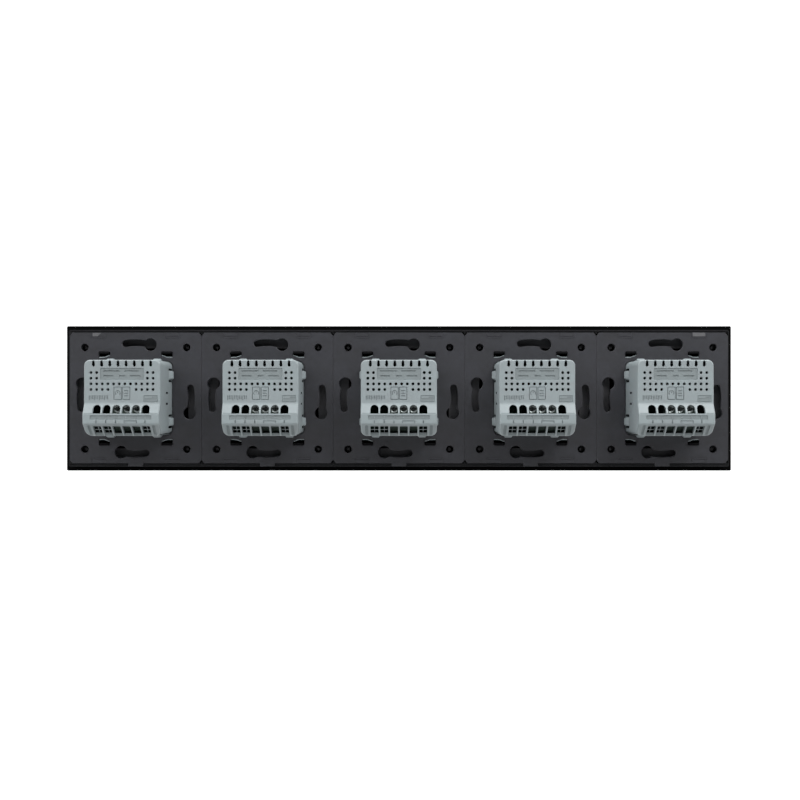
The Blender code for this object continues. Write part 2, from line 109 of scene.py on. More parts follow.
def round_rect(u0, u1, z0, z1, r, steps):
    out = []
    for cu, cz, start in (
        (u1 - r, z1 - r, 0),
        (u0 + r, z1 - r, 90),
        (u0 + r, z0 + r, 180),
        (u1 - r, z0 + r, 270),
    ):
        for i in range(steps + 1):
            a = math.radians(start + 90 * i / steps)
            out.append((cu + r * math.cos(a), cz + r * math.sin(a)))
    return out


def circle(cu, cz, r, sides, turn=0.0):
    return [
        (cu + r * math.cos(turn + 2 * math.pi * i / sides), cz + r * math.sin(turn + 2 * math.pi * i / sides))
        for i in range(sides)
    ]


def stadium(cu, z0, z1, r, steps=6):
    """Upright slot with round ends, between the centres z0 and z1."""
    out = [(cu + r * math.cos(math.pi * k / steps), z1 + r * math.sin(math.pi * k / steps)) for k in range(steps + 1)]
    out += [(cu - r * math.cos(math.pi * k / steps), z0 - r * math.sin(math.pi * k / steps)) for k in range(steps + 1)]
    return out


def grown(outline, by):
    """Outline moved out by a small distance, along each corner's bisector."""
    n = len(outline)
    area = sum(
        outline[i][0] * outline[(i + 1) % n][1] - outline[(i + 1) % n][0] * outline[i][1] for i in range(n)
    )
    sign = 1.0 if area > 0 else -1.0
    out = []
    for i in range(n):
        (ax, ay), (bx, by_), (cx, cy) = outline[i - 1], outline[i], outline[(i + 1) % n]
        d1 = Vector((bx - ax, by_ - ay))
        d2 = Vector((cx - bx, cy - by_))
        if d1.length < 1e-6 or d2.length < 1e-6:
            out.append(outline[i])
            continue
        n1 = Vector((d1.y, -d1.x)).normalized() * sign
        n2 = Vector((d2.y, -d2.x)).normalized() * sign
        m = n1 + n2
        m = m / max(0.5, m.length_squared / 2)
        out.append((bx + m.x * by, by_ + m.y * by))
    return out


def hole_h(bm, outline, bottom, face, lip=0.12, over=0.8):
    """Cutter for a hole whose mouth at the face is eased by a small chamfer."""
    wide = grown(outline, lip)
    rings(
        bm,
        [
            [at(u, bottom, z) for u, z in outline],
            [at(u, face - lip, z) for u, z in outline],
            [at(u, face + 0.002, z) for u, z in wide],
            [at(u, face + over, z) for u, z in wide],
        ],
    )


def mesh_of(name, fill):
    bm = bmesh.new()
    fill(bm)
    bmesh.ops.recalc_face_normals(bm, faces=bm.faces[:])
    mesh = bpy.data.meshes.new(name)
    bm.to_mesh(mesh)
    bm.free()
    return mesh


def carved(name, base, steps):
    """Mesh of base after Boolean steps of (operation, shape); shapes fill a bmesh or are meshes."""
    def as_object(tag, shape):
        mesh = mesh_of(tag, shape) if callable(shape) else shape
        obj = bpy.data.objects.new(tag, mesh)
        bpy.context.scene.collection.objects.link(obj)
        obj.hide_render = True
        return obj

    body = as_object(name + "_blank", base)
    used = [body]
    for n, (operation, shape) in enumerate(steps):
        tool = as_object(f"{name}_tool_{n}", shape)
        used.append(tool)
        step = body.modifiers.new(f"step_{n}", "BOOLEAN")
        step.operation, step.solver, step.object = operation, "EXACT", tool
    bpy.context.view_layer.update()
    graph = bpy.context.evaluated_depsgraph_get()
    mesh = bpy.data.meshes.new_from_object(body.evaluated_get(graph))
    mesh.name = name
    mesh.materials.clear()
    for obj in used:
        bpy.data.objects.remove(obj)
    return mesh


def soften(mesh, width, segments, choose, profile=0.5):
    """Rounds the chosen edges of a mesh. choose(edge) is asked for each edge with two faces."""
    bm = bmesh.new()
    bm.from_mesh(mesh)
    bmesh.ops.remove_doubles(bm, verts=bm.verts[:], dist=2e-7)
    picked = [e for e in bm.edges if len(e.link_faces) == 2 and choose(e)]
    bmesh.ops.bevel(
        bm,
        geom=picked,
        offset=width * MM,
        offset_type="OFFSET",
        segments=segments,
        profile=profile,
        affect="EDGES",
        clamp_overlap=True,
    )
    bm.to_mesh(mesh)
    bm.free()
    return mesh


FINISHED, DRAFTS = {}, []


def finished(mesh, material, sharp):
    """The mesh with its shading normals weighted by area, so that flat faces stay flat between rounded edges."""
    if mesh.name in FINISHED:
        return FINISHED[mesh.name]
    name = mesh.name
    if not mesh.materials:
        mesh.materials.append(material)
    mesh.shade_smooth()
    mesh.set_sharp_from_angle(angle=math.radians(sharp))
    obj = bpy.data.objects.new(name + "_draft", mesh)
    bpy.context.scene.collection.objects.link(obj)
    weighted = obj.modifiers.new("weighted", "WEIGHTED_NORMAL")
    weighted.mode, weighted.keep_sharp = "FACE_AREA", True
    bpy.context.view_layer.update()
    done = bpy.data.meshes.new_from_object(obj.evaluated_get(bpy.context.evaluated_depsgraph_get()))
    bpy.data.objects.remove(obj)
    done.name = name + "_finished"
    FINISHED[name] = done
    DRAFTS.append(mesh)
    return done


def piece(name, mesh, material, body="modules", location=(0, 0, 0), stands_for=(), sharp=30):
    obj = bpy.data.objects.new(name, finished(mesh, material, sharp))
    bpy.context.scene.collection.objects.link(obj)
    obj.location = location
    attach(obj, body)
    if stands_for:
        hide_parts(*stands_for)
    return obj


def gang_at(n):
    return Vector(((n - 3) * PITCH * MM, 0.0, 0.0))


def way_u(i):
    return (i - (WAYS - 1) / 2) * WAY_PITCH


# ------------------------------------------------------------ materials
class Graph:
    """Small helper that adds and joins shader nodes."""

    def __init__(self, name):
        self.mat = bpy.data.materials.new(name)
        self.mat.use_nodes = True
        self.tree = self.mat.node_tree
        self.shader = self.tree.nodes["Principled BSDF"]
        self.coords = self.tree.nodes.new("ShaderNodeTexCoord").outputs["Object"]

    def put(self, socket, value):
        if isinstance(value, bpy.types.NodeSocket):
            self.tree.links.new(value, socket)
        else:
            socket.default_value = value

    def node(self, kind, **inputs):
        node = self.tree.nodes.new(kind)
        for key, value in inputs.items():
            self.put(node.inputs[key.replace("_", " ")], value)
        return node

    def noise(self, size_mm, detail=3.0, rough=0.55, stretch=None):
        coords = self.coords
        if stretch:
            coords = self.node("ShaderNodeMapping", Vector=coords, Scale=stretch).outputs["Vector"]
        return self.node(
            "ShaderNodeTexNoise", Vector=coords, Scale=1.0 / (size_mm * MM), Detail=detail, Roughness=rough
        ).outputs["Fac"]

    def cells(self, size_mm):
        return self.node("ShaderNodeTexVoronoi", Vector=self.coords, Scale=1.0 / (size_mm * MM)).outputs["Distance"]

    def math(self, operation, a, b=None, c=None, clamp=False):
        node = self.tree.nodes.new("ShaderNodeMath")
        node.operation, node.use_clamp = operation, clamp
        for i, value in enumerate((a, b, c)):
            if value is not None:
                self.put(node.inputs[i], value)
        return node.outputs[0]

    def spread(self, value, low, high, to_low, to_high, smooth=False):
        node = self.tree.nodes.new("ShaderNodeMapRange")
        node.interpolation_type = "SMOOTHSTEP" if smooth else "LINEAR"
        for key, v in (("Value", value), ("From Min", low), ("From Max", high), ("To Min", to_low), ("To Max", to_high)):
            self.put(node.inputs[key], v)
        return node.outputs[0]

    def blend(self, factor, a, b, mode="MIX"):
        node = self.tree.nodes.new("ShaderNodeMix")
        node.data_type, node.blend_type = "RGBA", mode
        self.put(node.inputs["Factor"], factor)
        self.put(node.inputs["A"], a if isinstance(a, bpy.types.NodeSocket) else (*a, 1.0))
        self.put(node.inputs["B"], b if isinstance(b, bpy.types.NodeSocket) else (*b, 1.0))
        return node.outputs["Result"]

    def bump(self, height, strength, depth_mm, under=None):
        node = self.node("ShaderNodeBump", Height=height, Strength=strength, Distance=depth_mm * MM)
        if under is not None:
            self.put(node.inputs["Normal"], under)
        return node.outputs["Normal"]

    def axes(self, source=None):
        return self.node("ShaderNodeSeparateXYZ", Vector=source or self.coords).outputs


def moulded(name, colour, roughness, grain=0.28, grain_depth=0.012, mottle=0.05, tint=(1.0, 1.0, 1.0), flow=(1, 1, 1),
            specular=0.5, coat=0.0):
    """Moulded plastic: fine spark-eroded grain, slow flow mottling and polished spots."""
    g = Graph(name)
    s = g.shader
    slow = g.noise(9.0, 3.0, 0.5, flow)
    mid = g.noise(1.6, 3.0, 0.6)
    fine = g.noise(grain, 2.0, 0.6)
    level = g.math("ADD", g.math("MULTIPLY", slow, 0.65), g.math("MULTIPLY", mid, 0.35))
    dark = tuple(c * (1 - mottle) for c in colour)
    light = tuple(min(1.0, c * (1 + mottle) * t) for c, t in zip(colour, tint))
    base = g.blend(g.spread(level, 0.36, 0.64, 0.0, 1.0), dark, light)
    specks = g.spread(g.noise(grain * 0.8, 2.0, 0.7), 0.66, 0.74, 0.0, 0.5)
    base = g.blend(specks, base, tuple(c * 0.8 for c in colour))
    g.put(s.inputs["Base Color"], base)
    g.put(s.inputs["Roughness"], g.spread(g.math("ADD", mid, fine), 0.75, 1.25, roughness - 0.05, roughness + 0.06))
    s.inputs["Specular IOR Level"].default_value = specular
    s.inputs["Coat Weight"].default_value = coat
    s.inputs["Coat Roughness"].default_value = 0.3
    normal = g.bump(fine, 0.5, grain_depth)
    normal = g.bump(slow, 0.25, 0.03, normal)
    g.put(s.inputs["Normal"], normal)
    return g.mat


def black_glass(name):
    """Black glass. A thin pale ring and a small light window in each gang lie under its
    front face."""
    g = Graph(name)
    s = g.shader
    x, y, z = g.axes()
    px = g.math("SUBTRACT", g.math("WRAP", g.math("ADD", x, 2.5 * PITCH * MM), PITCH * MM, 0.0), 0.5 * PITCH * MM)
    r = g.math("SQRT", g.math("ADD", g.math("MULTIPLY", px, px), g.math("MULTIPLY", z, z)))
    ring = g.spread(g.math("ABSOLUTE", g.math("SUBTRACT", r, 13.5 * MM)), 0.30 * MM, 0.42 * MM, 1.0, 0.0)
    dot = g.spread(r, 1.3 * MM, 1.45 * MM, 1.0, 0.0)
    front = g.spread(y, (GLASS_FRONT + WALL_Y + 0.02) * MM, (GLASS_FRONT + WALL_Y + 0.06) * MM, 1.0, 0.0)
    print_mask = g.math("MULTIPLY", g.math("MAXIMUM", ring, g.math("MULTIPLY", dot, 0.7)), front)
    cloud = g.noise(22.0, 3.0, 0.5)
    black = g.blend(cloud, (0.0028, 0.0028, 0.0032), (0.0045, 0.0045, 0.005))
    g.put(s.inputs["Base Color"], g.blend(print_mask, black, (0.42, 0.45, 0.48)))
    smears = g.spread(g.noise(14.0, 4.0, 0.6, (1.0, 1.0, 0.4)), 0.45, 0.7, 0.02, 0.07)
    g.put(s.inputs["Roughness"], smears)
    s.inputs["IOR"].default_value = 1.5
    return g.mat


def back_paint(name):
    """Matt black ink on the back of the glass, with a fine sieve texture."""
    g = Graph(name)
    s = g.shader
    ink = g.noise(0.5, 3.0, 0.6)
    cloud = g.noise(15.0, 3.0, 0.5)
    g.put(s.inputs["Base Color"], g.blend(cloud, (0.0014, 0.0014, 0.0015), (0.0026, 0.0026, 0.0028)))
    g.put(s.inputs["Roughness"], g.spread(ink, 0.3, 0.7, 0.60, 0.74))
    s.inputs["Specular IOR Level"].default_value = 0.02
    g.put(s.inputs["Normal"], g.bump(ink, 0.3, 0.004))
    return g.mat


def circuit(name, mask_colour, dark_colour):
    """Solder-masked board: tracks under the mask, pads and a fine roughness grain."""
    g = Graph(name)
    s = g.shader
    x, y, z = g.axes()
    along = g.math("FRACT", g.math("MULTIPLY", x, 1 / (1.27 * MM)))
    across = g.math("FRACT", g.math("MULTIPLY", z, 1 / (2.54 * MM)))
    line = g.math("MULTIPLY", g.spread(along, 0.30, 0.36, 0.0, 1.0), g.spread(along, 0.64, 0.70, 1.0, 0.0))
    gate = g.spread(g.noise(5.0, 2.0, 0.5), 0.48, 0.52, 0.0, 1.0)
    track = g.math("MULTIPLY", line, gate)
    pads = g.spread(g.cells(2.2), 0.16, 0.19, 1.0, 0.0)
    base = g.blend(track, dark_colour, mask_colour)
    base = g.blend(g.math("MULTIPLY", pads, g.spread(across, 0.2, 0.3, 0.0, 1.0)), base, (0.10, 0.105, 0.10))
    g.put(s.inputs["Base Color"], base)
    g.put(s.inputs["Roughness"], g.spread(g.noise(0.5), 0.3, 0.7, 0.28, 0.42))
    g.put(s.inputs["Normal"], g.bump(track, 0.4, 0.03))
    return g.mat


def plated(name, colour, roughness, scratch=(1.0, 1.0, 1.0)):
    """Plated metal with a fine turned or tumbled finish and slight clouding."""
    g = Graph(name)
    s = g.shader
    cloud = g.noise(1.2, 3.0, 0.6)
    fine = g.noise(0.09, 2.0, 0.6, scratch)
    g.put(s.inputs["Base Color"], g.blend(cloud, tuple(c * 0.82 for c in colour), tuple(min(1, c * 1.12) for c in colour)))
    s.inputs["Metallic"].default_value = 1.0
    g.put(s.inputs["Roughness"], g.spread(g.math("ADD", cloud, fine), 0.7, 1.3, roughness - 0.08, roughness + 0.12))
    g.put(s.inputs["Normal"], g.bump(fine, 0.35, 0.006))
    return g.mat


LOOKS = {
    "glass": black_glass("black_glass"),
    "ink": back_paint("back_ink"),
    "frame": moulded("frame_plastic", (0.0145, 0.0145, 0.0156), 0.6, grain=0.2, specular=0.10),
    "floor": moulded("frame_floor_plastic", (0.062, 0.062, 0.067), 0.6, grain=0.35, specular=0.3),
    "plate": moulded("plate_plastic", (0.0380, 0.0377, 0.0423), 0.42, grain=0.24, grain_depth=0.014, mottle=0.10,
                     tint=(0.98, 1.0, 1.04), flow=(0.5, 1.0, 1.0)),
    "housing": moulded("housing_plastic", (0.296, 0.329, 0.339), 0.44, grain=0.22, grain_depth=0.010, mottle=0.035,
                       tint=(0.97, 1.01, 1.01)),
    # Dark look for the room inside and the slots: painted shade where only shade falls, not a real lacquer.
    "inside": moulded("housing_inside_painted_shade", (0.044, 0.050, 0.052), 0.7, grain=0.4, grain_depth=0.02, mottle=0.12,
                      specular=0.15),
    # Paler grey for the heads of the two end tongues at the top.
    "pale_end": moulded("pale_end_tongue_head", (0.120, 0.120, 0.125), 0.40, grain=0.3, mottle=0.10),
    # Recess floors and trough floors: painted darker as shade in the recesses, with a duller, coarser finish.
    "sunk": moulded("housing_sunk_painted_shade", (0.228, 0.256, 0.262), 0.58, grain=0.3, grain_depth=0.014, mottle=0.05,
                    tint=(0.98, 1.0, 1.0), specular=0.35),
    "cover": moulded("cover_plastic", (0.0048, 0.0048, 0.0054), 0.7, grain=0.2, specular=0.05),
    "block": moulded("terminal_plastic", (0.056, 0.077, 0.066), 0.42, grain=0.2, mottle=0.10, specular=0.3),
    "can": moulded("sleeve_plastic", (0.010, 0.013, 0.026), 0.35, grain=0.4, mottle=0.06),
    "epoxy": moulded("component_epoxy", (0.016, 0.016, 0.017), 0.55, grain=0.12, mottle=0.12),
    "ferrite": moulded("ferrite", (0.05, 0.048, 0.046), 0.5, grain=0.1, mottle=0.15),
    "board": circuit("green_board", (0.012, 0.060, 0.028), (0.007, 0.038, 0.018)),
    "screw": plated("zinc_steel", (0.150, 0.166, 0.164), 0.28),
    "cage": plated("nickel_brass", (0.58, 0.55, 0.44), 0.30),
    "copper": plated("enamelled_copper", (0.05, 0.024, 0.014), 0.55),
    "pad": plated("sensing_pad_spring", (0.62, 0.60, 0.56), 0.36),
    "tin": plated("tinned_legs", (0.62, 0.63, 0.64), 0.32),
    "lens": moulded("light_lens", (0.62, 0.62, 0.60), 0.25, grain=0.15, mottle=0.03),
}


# ------------------------------------------------------------ glass
def glass_mesh():
    def fill(bm):
        loops = []
        # (how far in, h): eased arrises on both faces
        for inset, h in (
            (0.45, GLASS_BACK),
            (0.22, GLASS_BACK - 0.04),
            (0.06, GLASS_BACK - 0.15),
            (0.0, GLASS_BACK - 0.32),
            (0.0, GLASS_FRONT + 0.55),
            (0.05, GLASS_FRONT + 0.34),
            (0.18, GLASS_FRONT + 0.14),
            (0.38, GLASS_FRONT + 0.03),
            (0.62, GLASS_FRONT),
        ):
            loops.append(
                [
                    at(u, h, z)
                    for u, z in round_rect(
                        -GLASS_U + inset, GLASS_U - inset, -GLASS_Z + inset, GLASS_Z - inset, max(0.06, GLASS_R - inset), 8
                    )
                ]
            )
        rings(bm, loops)

    mesh = mesh_of("glass_front", fill)
    mesh.materials.append(LOOKS["glass"])
    mesh.materials.append(LOOKS["ink"])
    for face in mesh.polygons:
        if face.normal.y > 0.05:
            face.material_index = 1
    return mesh


# ------------------------------------------------------------ frame behind the glass
def gang_u(n):
    return (3 - n) * PITCH


def frame_mesh():
    def blank(bm):
        loops = []
        for inset, h in ((0.0, SKIRT_FRONT), (0.0, SKIRT_REAR - 0.07), (0.07, SKIRT_REAR)):
            loops.append(
                [
                    at(u, h, z)
                    for u, z in round_rect(
                        -SKIRT_OUT_U + inset, SKIRT_OUT_U - inset, -SKIRT_OUT_Z + inset, SKIRT_OUT_Z - inset,
                        0.9 - inset, 6,
                    )
                ]
            )
        rings(bm, loops)

    def hollow(bm):
        """Room for the plates, with a ledge close round them."""
        loops = []
        for out, h in ((0.0, SKIRT_FLOOR), (0.0, LEDGE)):
            loops.append(
                [at(u, h, z) for u, z in round_rect(-SKIRT_IN_U - out, SKIRT_IN_U + out, LEDGE_BOTTOM, LEDGE_TOP, 0.8, 4)]
            )
        for out, h in ((0.0, LEDGE + 0.001), (0.0, SKIRT_REAR - 0.18), (0.14, SKIRT_REAR + 0.01), (0.14, SKIRT_REAR + 2)):
            loops.append(
                [
                    at(u, h, z)
                    for u, z in round_rect(
                        -SKIRT_IN_U - out, SKIRT_IN_U + out, -SKIRT_IN_Z - out, SKIRT_IN_Z + out, 0.8 + out, 4
                    )
                ]
            )
        rings(bm, loops)

    def windows(bm):
        for n in GANGS:
            c = gang_u(n)
            hole_h(bm, round_rect(c - WINDOW, c + WINDOW, -WINDOW, WINDOW, 4.5, 6), SKIRT_FRONT - 2, SKIRT_FLOOR, 0.25)

    def tongues(bm):
        for n in GANGS:
            c = gang_u(n)
            for side in (-1, 1):
                a, b = sorted((c + side * (NOTCH_IN + 0.05), c + side * (NOTCH_OUT - 0.05)))
                for up in (-1, 1):
                    edge = PLATE_TOP if up > 0 else -PLATE_BOTTOM
                    inner, outer = edge - NOTCH_DEEP + 0.05, edge - 0.03
                    # Section of the tongue: its foot stands on the ledge, its eased head fills the notch.
                    shape = [
                        (36.4, -6.1),
                        (36.4, -1.3),
                        (outer, -1.3),
                        (outer, -0.2),
                        (outer - 0.12, -0.05),
                        (inner + 0.14, -0.05),
                        (inner, -0.2),
                        (inner, -6.1),
                    ]
                    prism_u(bm, [(up * z, h) for z, h in shape], a, b)

    def gussets(bm):
        """Small pointed studs on the ledge, between the plates' cut corners."""
        for n in GANGS[:-1]:
            c = gang_u(n) - PITCH / 2
            for up, base, tip in ((1, LEDGE_TOP - 0.05, LEDGE_TOP - 1.1), (-1, -LEDGE_BOTTOM - 0.05, -LEDGE_BOTTOM - 1.1)):
                shape = [(c - 0.5, 36.4), (c - 0.5, base), (c - 0.1, tip), (c + 0.1, tip), (c + 0.5, base), (c + 0.5, 36.4)]
                prism_h(bm, [(u, up * z) for u, z in shape], -6.1, -0.7)
        # The cut corners of the end plate at the left are filled up to its rear face.
        for up, edge in ((1, PLATE_TOP), (-1, -PLATE_BOTTOM)):
            e = 2 * PITCH + PLATE_U
            shape = [(e + 0.35, edge - 2.26), (e + 0.35, edge + 0.34), (e - 1.63, edge + 0.34)]
            prism_h(bm, [(-u, up * z) for u, z in shape], -6.1, -0.05)

    def chafed(bm):
        """Slanting step on the end tongue's head."""
        prism_h(bm, [(-158.2, 33.15), (-158.2, 35.75), (-160.2, 35.75), (-162.9, 33.15)], -0.13, 1.0)

    def posts(bm):
        """Locating posts seen through the plates' round holes."""
        for n in GANGS:
            for su in (-1, 1):
                for sz in (-1, 1):
                    c, z = gang_u(n) + su * POST_AT, sz * POST_AT
                    rings(bm, [[at(u, h, zz) for u, zz in circle(c, z, r, 16)] for r, h in ((1.15, -6.1), (0.95, -3.0), (0.8, -2.75), (0.5, -2.7))])

    def pry(bm):
        for n in GANGS:
            c = gang_u(n)
            box(bm, c - TAB_HALF - 0.25, c + TAB_HALF + 0.25, -2.4, 2.0, -39.0, -35.05)

    mesh = carved(
        "panel_frame_moulding",
        blank,
        [
            ("DIFFERENCE", hollow),
            ("DIFFERENCE", windows),
            ("UNION", tongues),
            ("UNION", gussets),
            ("UNION", posts),
            ("DIFFERENCE", pry),
            ("DIFFERENCE", chafed),
        ],
    )
    # The tongues' heads have the plates' texture, and the two end tongues at the top are given a paler grey; the floor
    # behind the plates is left coarser.
    for look in ("frame", "plate", "floor", "pale_end"):
        mesh.materials.append(LOOKS[look])
    for face in mesh.polygons:
        u, h, z = -face.center.x / MM, face.center.y / MM - WALL_Y, face.center.z / MM
        if abs(u) < 177.0 and abs(z) < 35.6 and h > -0.22:
            face.material_index = 3 if (u > 158.0 or u < -158.0 and h > -0.1) and z > 0 else 1
        elif abs(u) < 177.5 and abs(z) < 35.6 and -5.6 < h < -1.0:
            face.material_index = 2
    return mesh


# ------------------------------------------------------------ mounting plates
def plate_outline(inset):
    """Outline of a plate with cut corners, notches and the pry tab, moved in by inset."""
    i = inset
    x, top, bottom = PLATE_U - inset, PLATE_TOP - inset, PLATE_BOTTOM + inset
    cu, cz = CORNER_U - 0.506 * inset, CORNER_Z - 0.662 * inset
    out = [(x, top - cz), (x - cu, top)]
    for a, b in ((NOTCH_OUT, NOTCH_IN), (-NOTCH_IN, -NOTCH_OUT)):
        deep = PLATE_TOP - NOTCH_DEEP - i
        out.extend([(a + i, top), (a + i, deep), (b - i, deep), (b - i, top)])
    out += [(-x + cu, top), (-x, top - cz), (-x, bottom + cz), (-x + cu, bottom)]
    deep = PLATE_BOTTOM + NOTCH_DEEP + i
    out.extend([(-NOTCH_OUT - i, bottom), (-NOTCH_OUT - i, deep), (-NOTCH_IN + i, deep), (-NOTCH_IN + i, bottom)])
    out.extend([(-TAB_HALF + i, bottom), (-TAB_HALF + i, TAB_END + i), (TAB_HALF - i, TAB_END + i), (TAB_HALF - i, bottom)])
    out.extend([(NOTCH_IN - i, bottom), (NOTCH_IN - i, deep), (NOTCH_OUT + i, deep), (NOTCH_OUT + i, bottom)])
    out += [(x - cu, bottom), (x, bottom + cz)]
    return out


def keyhole(turn):
    half = SLOT_W / 2

    def polar(radius, degrees):
        a = math.radians(degrees + turn)
        return (radius * math.sin(a), radius * math.cos(a))

    out = []
    cu, cz = polar(FIX_R, SLOT_FROM)
    for k in range(9):
        a = math.radians(SLOT_FROM + turn + 180 + 22.5 * k)
        out.append((cu + half * math.sin(a), cz + half * math.cos(a)))
    if math.dist((0, 0), out[0]) > math.dist((0, 0), out[-1]):
        out.reverse()
    reach = math.degrees(math.sqrt(KEY_R**2 - half**2) / FIX_R)
    span = SLOT_TO - reach - SLOT_FROM
    out += [polar(FIX_R + half, SLOT_FROM + span * k / 6) for k in range(1, 7)]
    hu, hz = polar(FIX_R, SLOT_TO)
    open_half = math.degrees(math.asin(half / KEY_R))
    for k in range(1, 20):
        a = math.radians(SLOT_TO + turn - 90 + open_half + (360 - 2 * open_half) * k / 20)
        out.append((hu + KEY_R * math.sin(a), hz + KEY_R * math.cos(a)))
    out += [polar(FIX_R - half, SLOT_FROM + span * k / 6) for k in range(6, 0, -1)]
    return out


def plate_mesh():
    def blank(bm):
        rings(
            bm,
            [
                [at(u, h, z) for u, z in plate_outline(inset)]
                for inset, h in ((0.2, -PLATE_T), (0.0, -PLATE_T + 0.2), (0.0, -0.04), (0.03, 0.0))
            ],
        )

    def openings(bm):
        gap = 0.3
        hole_h(
            bm,
            round_rect(-HOUSE_U - gap, HOUSE_U + gap, HOUSE_BOTTOM - gap, HOUSE_TOP + gap, HOUSE_R, 8),
            -PLATE_T - 1,
            0.0,
            0.2,
        )
        for su in (-1, 1):
            for sz in (-1, 1):
                hole_h(bm, circle(su * 27.45, sz * 27.45, ROUND_HOLE, 32), -PLATE_T - 1, 0.0, 0.12)
                shape = [
                    (LATCH_U1, LATCH_Z1),
                    (LATCH_U0, LATCH_Z1),
                    (LATCH_U0, LATCH_Z0 + LATCH_BEND_Z),
                ]
                shape += [
                    (
                        LATCH_U0 + (LATCH_BEND_U - LATCH_U0) * k / 6,
                        LATCH_Z0 + LATCH_BEND_Z * (0.5 + 0.5 * math.cos(math.pi * k / 6)),
                    )
                    for k in range(1, 7)
                ]
                shape += [(LATCH_U1, LATCH_Z0)]
                hole_h(bm, [(su * u, sz * z) for u, z in shape], -PLATE_T - 1, 0.0, 0.1)
        for quarter in range(4):
            hole_h(bm, keyhole(90 * quarter), -PLATE_T - 1, 0.0, 0.18)

    def raised(bm):
        """Shallow moulded lines that frame the notches."""
        for su in (-1, 1):
            for sz, edge in ((1, PLATE_TOP), (-1, -PLATE_BOTTOM)):
                for u0, u1, z0, z1 in (
                    (NOTCH_IN - 0.75, NOTCH_IN - 0.45, edge - 3.3, edge - 0.5),
                    (NOTCH_OUT + 0.45, NOTCH_OUT + 0.75, edge - 3.3, edge - 0.5),
                    (NOTCH_IN - 0.4, NOTCH_OUT + 0.4, edge - 3.3, edge - 3.0),
                ):
                    a, b = sorted((su * u0, su * u1))
                    c, d = sorted((sz * z0, sz * z1))
                    box(bm, a, b, -0.12, 0.6, c, d)

    return carved("mounting_plate_moulding", blank, [("DIFFERENCE", openings), ("DIFFERENCE", raised)])


# ------------------------------------------------------------ rear housing
def profile(depth):
    su, sh = STEP_Z1 - STEP_Z0, HIGH - UPPER
    length = math.hypot(su, sh)
    nz, nh = sh / length, -su / length
    c = nz * STEP_Z0 + nh * UPPER - depth
    low, high = UPPER - depth, HIGH - depth
    bevel = HIGH - BEVEL_Z - depth * math.sqrt(2)
    return [
        (30.0, low),
        ((c - nh * low) / nz, low),
        ((c - nh * high) / nz, high),
        (high - bevel, high),
        (-30.0, bevel - 30.0),
    ]


def above(depth):
    return profile(depth) + [(-30.0, 45.0), (30.0, 45.0)]


def above_room():
    """Inner faces: the wall is thicker behind the troughs of the sloping face."""
    p = profile(WALL)
    b = HIGH - BEVEL_Z - TROUGH_WALL * math.sqrt(2)
    return p[:3] + [(p[2][1] - b, p[2][1]), (-30.0, b - 30.0), (-30.0, 45.0), (30.0, 45.0)]


def slope(u, s, t):
    """Point s down the sloping face from its upper edge, and t out of it."""
    k = math.sqrt(0.5)
    return at(u, HIGH - k * s + k * t, BEVEL_Z - k * s - k * t)


def face_h(z, depth=0.0):
    """Height of the rear surface at z."""
    pts = profile(depth)
    for (z0, h0), (z1, h1) in zip(pts, pts[1:]):
        if z1 <= z <= z0:
            return h0 + (h1 - h0) * (z0 - z) / (z0 - z1)
    return pts[0][1]


def dot_places():
    for row in range(4):
        for i in range(12):
            column = min(i, 11 - i)
            if (row < 2 and column > 1) or (row == 3 and column > 3):
                continue
            yield (i - 5.5) * 2.893, 13.18 - 2.893 * row


def arch(cu, r=ARCH_R, steps=14):
    out = [(cu - r, STEP_Z1), (cu + r, STEP_Z1)]
    for k in range(steps + 1):
        a = math.pi * k / steps
        out.append((cu + r * math.cos(a), -3.35 - r + r * math.sin(a)))
    return out


def shell_mesh():
    """Outer body of the housing with rounded edges."""
    def blank(bm):
        prism_h(bm, round_rect(-HOUSE_U, HOUSE_U, HOUSE_BOTTOM, HOUSE_TOP, HOUSE_R, 10), -2.8, 33.0)

    mesh = carved("housing_shell", blank, [("DIFFERENCE", lambda bm: prism_u(bm, above(0.0), -30.0, 30.0))])

    def outer_edge(e):
        h = (e.verts[0].co.y + e.verts[1].co.y) / 2 / MM - WALL_Y
        if h < 10:
            return False
        a, b = (f.normal for f in e.link_faces)
        return a.angle(b) > math.radians(14)

    return soften(mesh, 0.75, 4, outer_edge)


def frame_prism(bm, u0, u1, z0, z1, line, h0, h1, r=0.35):
    """Rectangular ring with rounded corners."""
    outer = round_rect(u0, u1, z0, z1, r, 3)
    inner = round_rect(u0 + line, u1 - line, z0 + line, z1 - line, max(0.05, r - line), 3)
    loops = [[bm.verts.new(at(u, h, z)) for u, z in shape] for h, shape in ((h0, outer), (h1, outer), (h1, inner), (h0, inner))]
    for k in range(4):
        low, high = loops[k], loops[(k + 1) % 4]
        for i in range(len(low)):
            j = (i + 1) % len(low)
            bm.faces.new((low[i], low[j], high[j], high[i]))


def digit_mesh(text, size, height):
    curve = bpy.data.curves.new("digit_" + text, "FONT")
    curve.body = text
    curve.size = size * MM
    curve.extrude = height * MM / 2
    curve.align_x, curve.align_y = "CENTER", "CENTER"
    curve.resolution_u = 4
    obj = bpy.data.objects.new("digit_" + text, curve)
    bpy.context.scene.collection.objects.link(obj)
    bpy.context.view_layer.update()
    mesh = bpy.data.meshes.new_from_object(obj.evaluated_get(bpy.context.evaluated_depsgraph_get()))
    bpy.data.objects.remove(obj)
    bpy.data.curves.remove(curve)
    return mesh


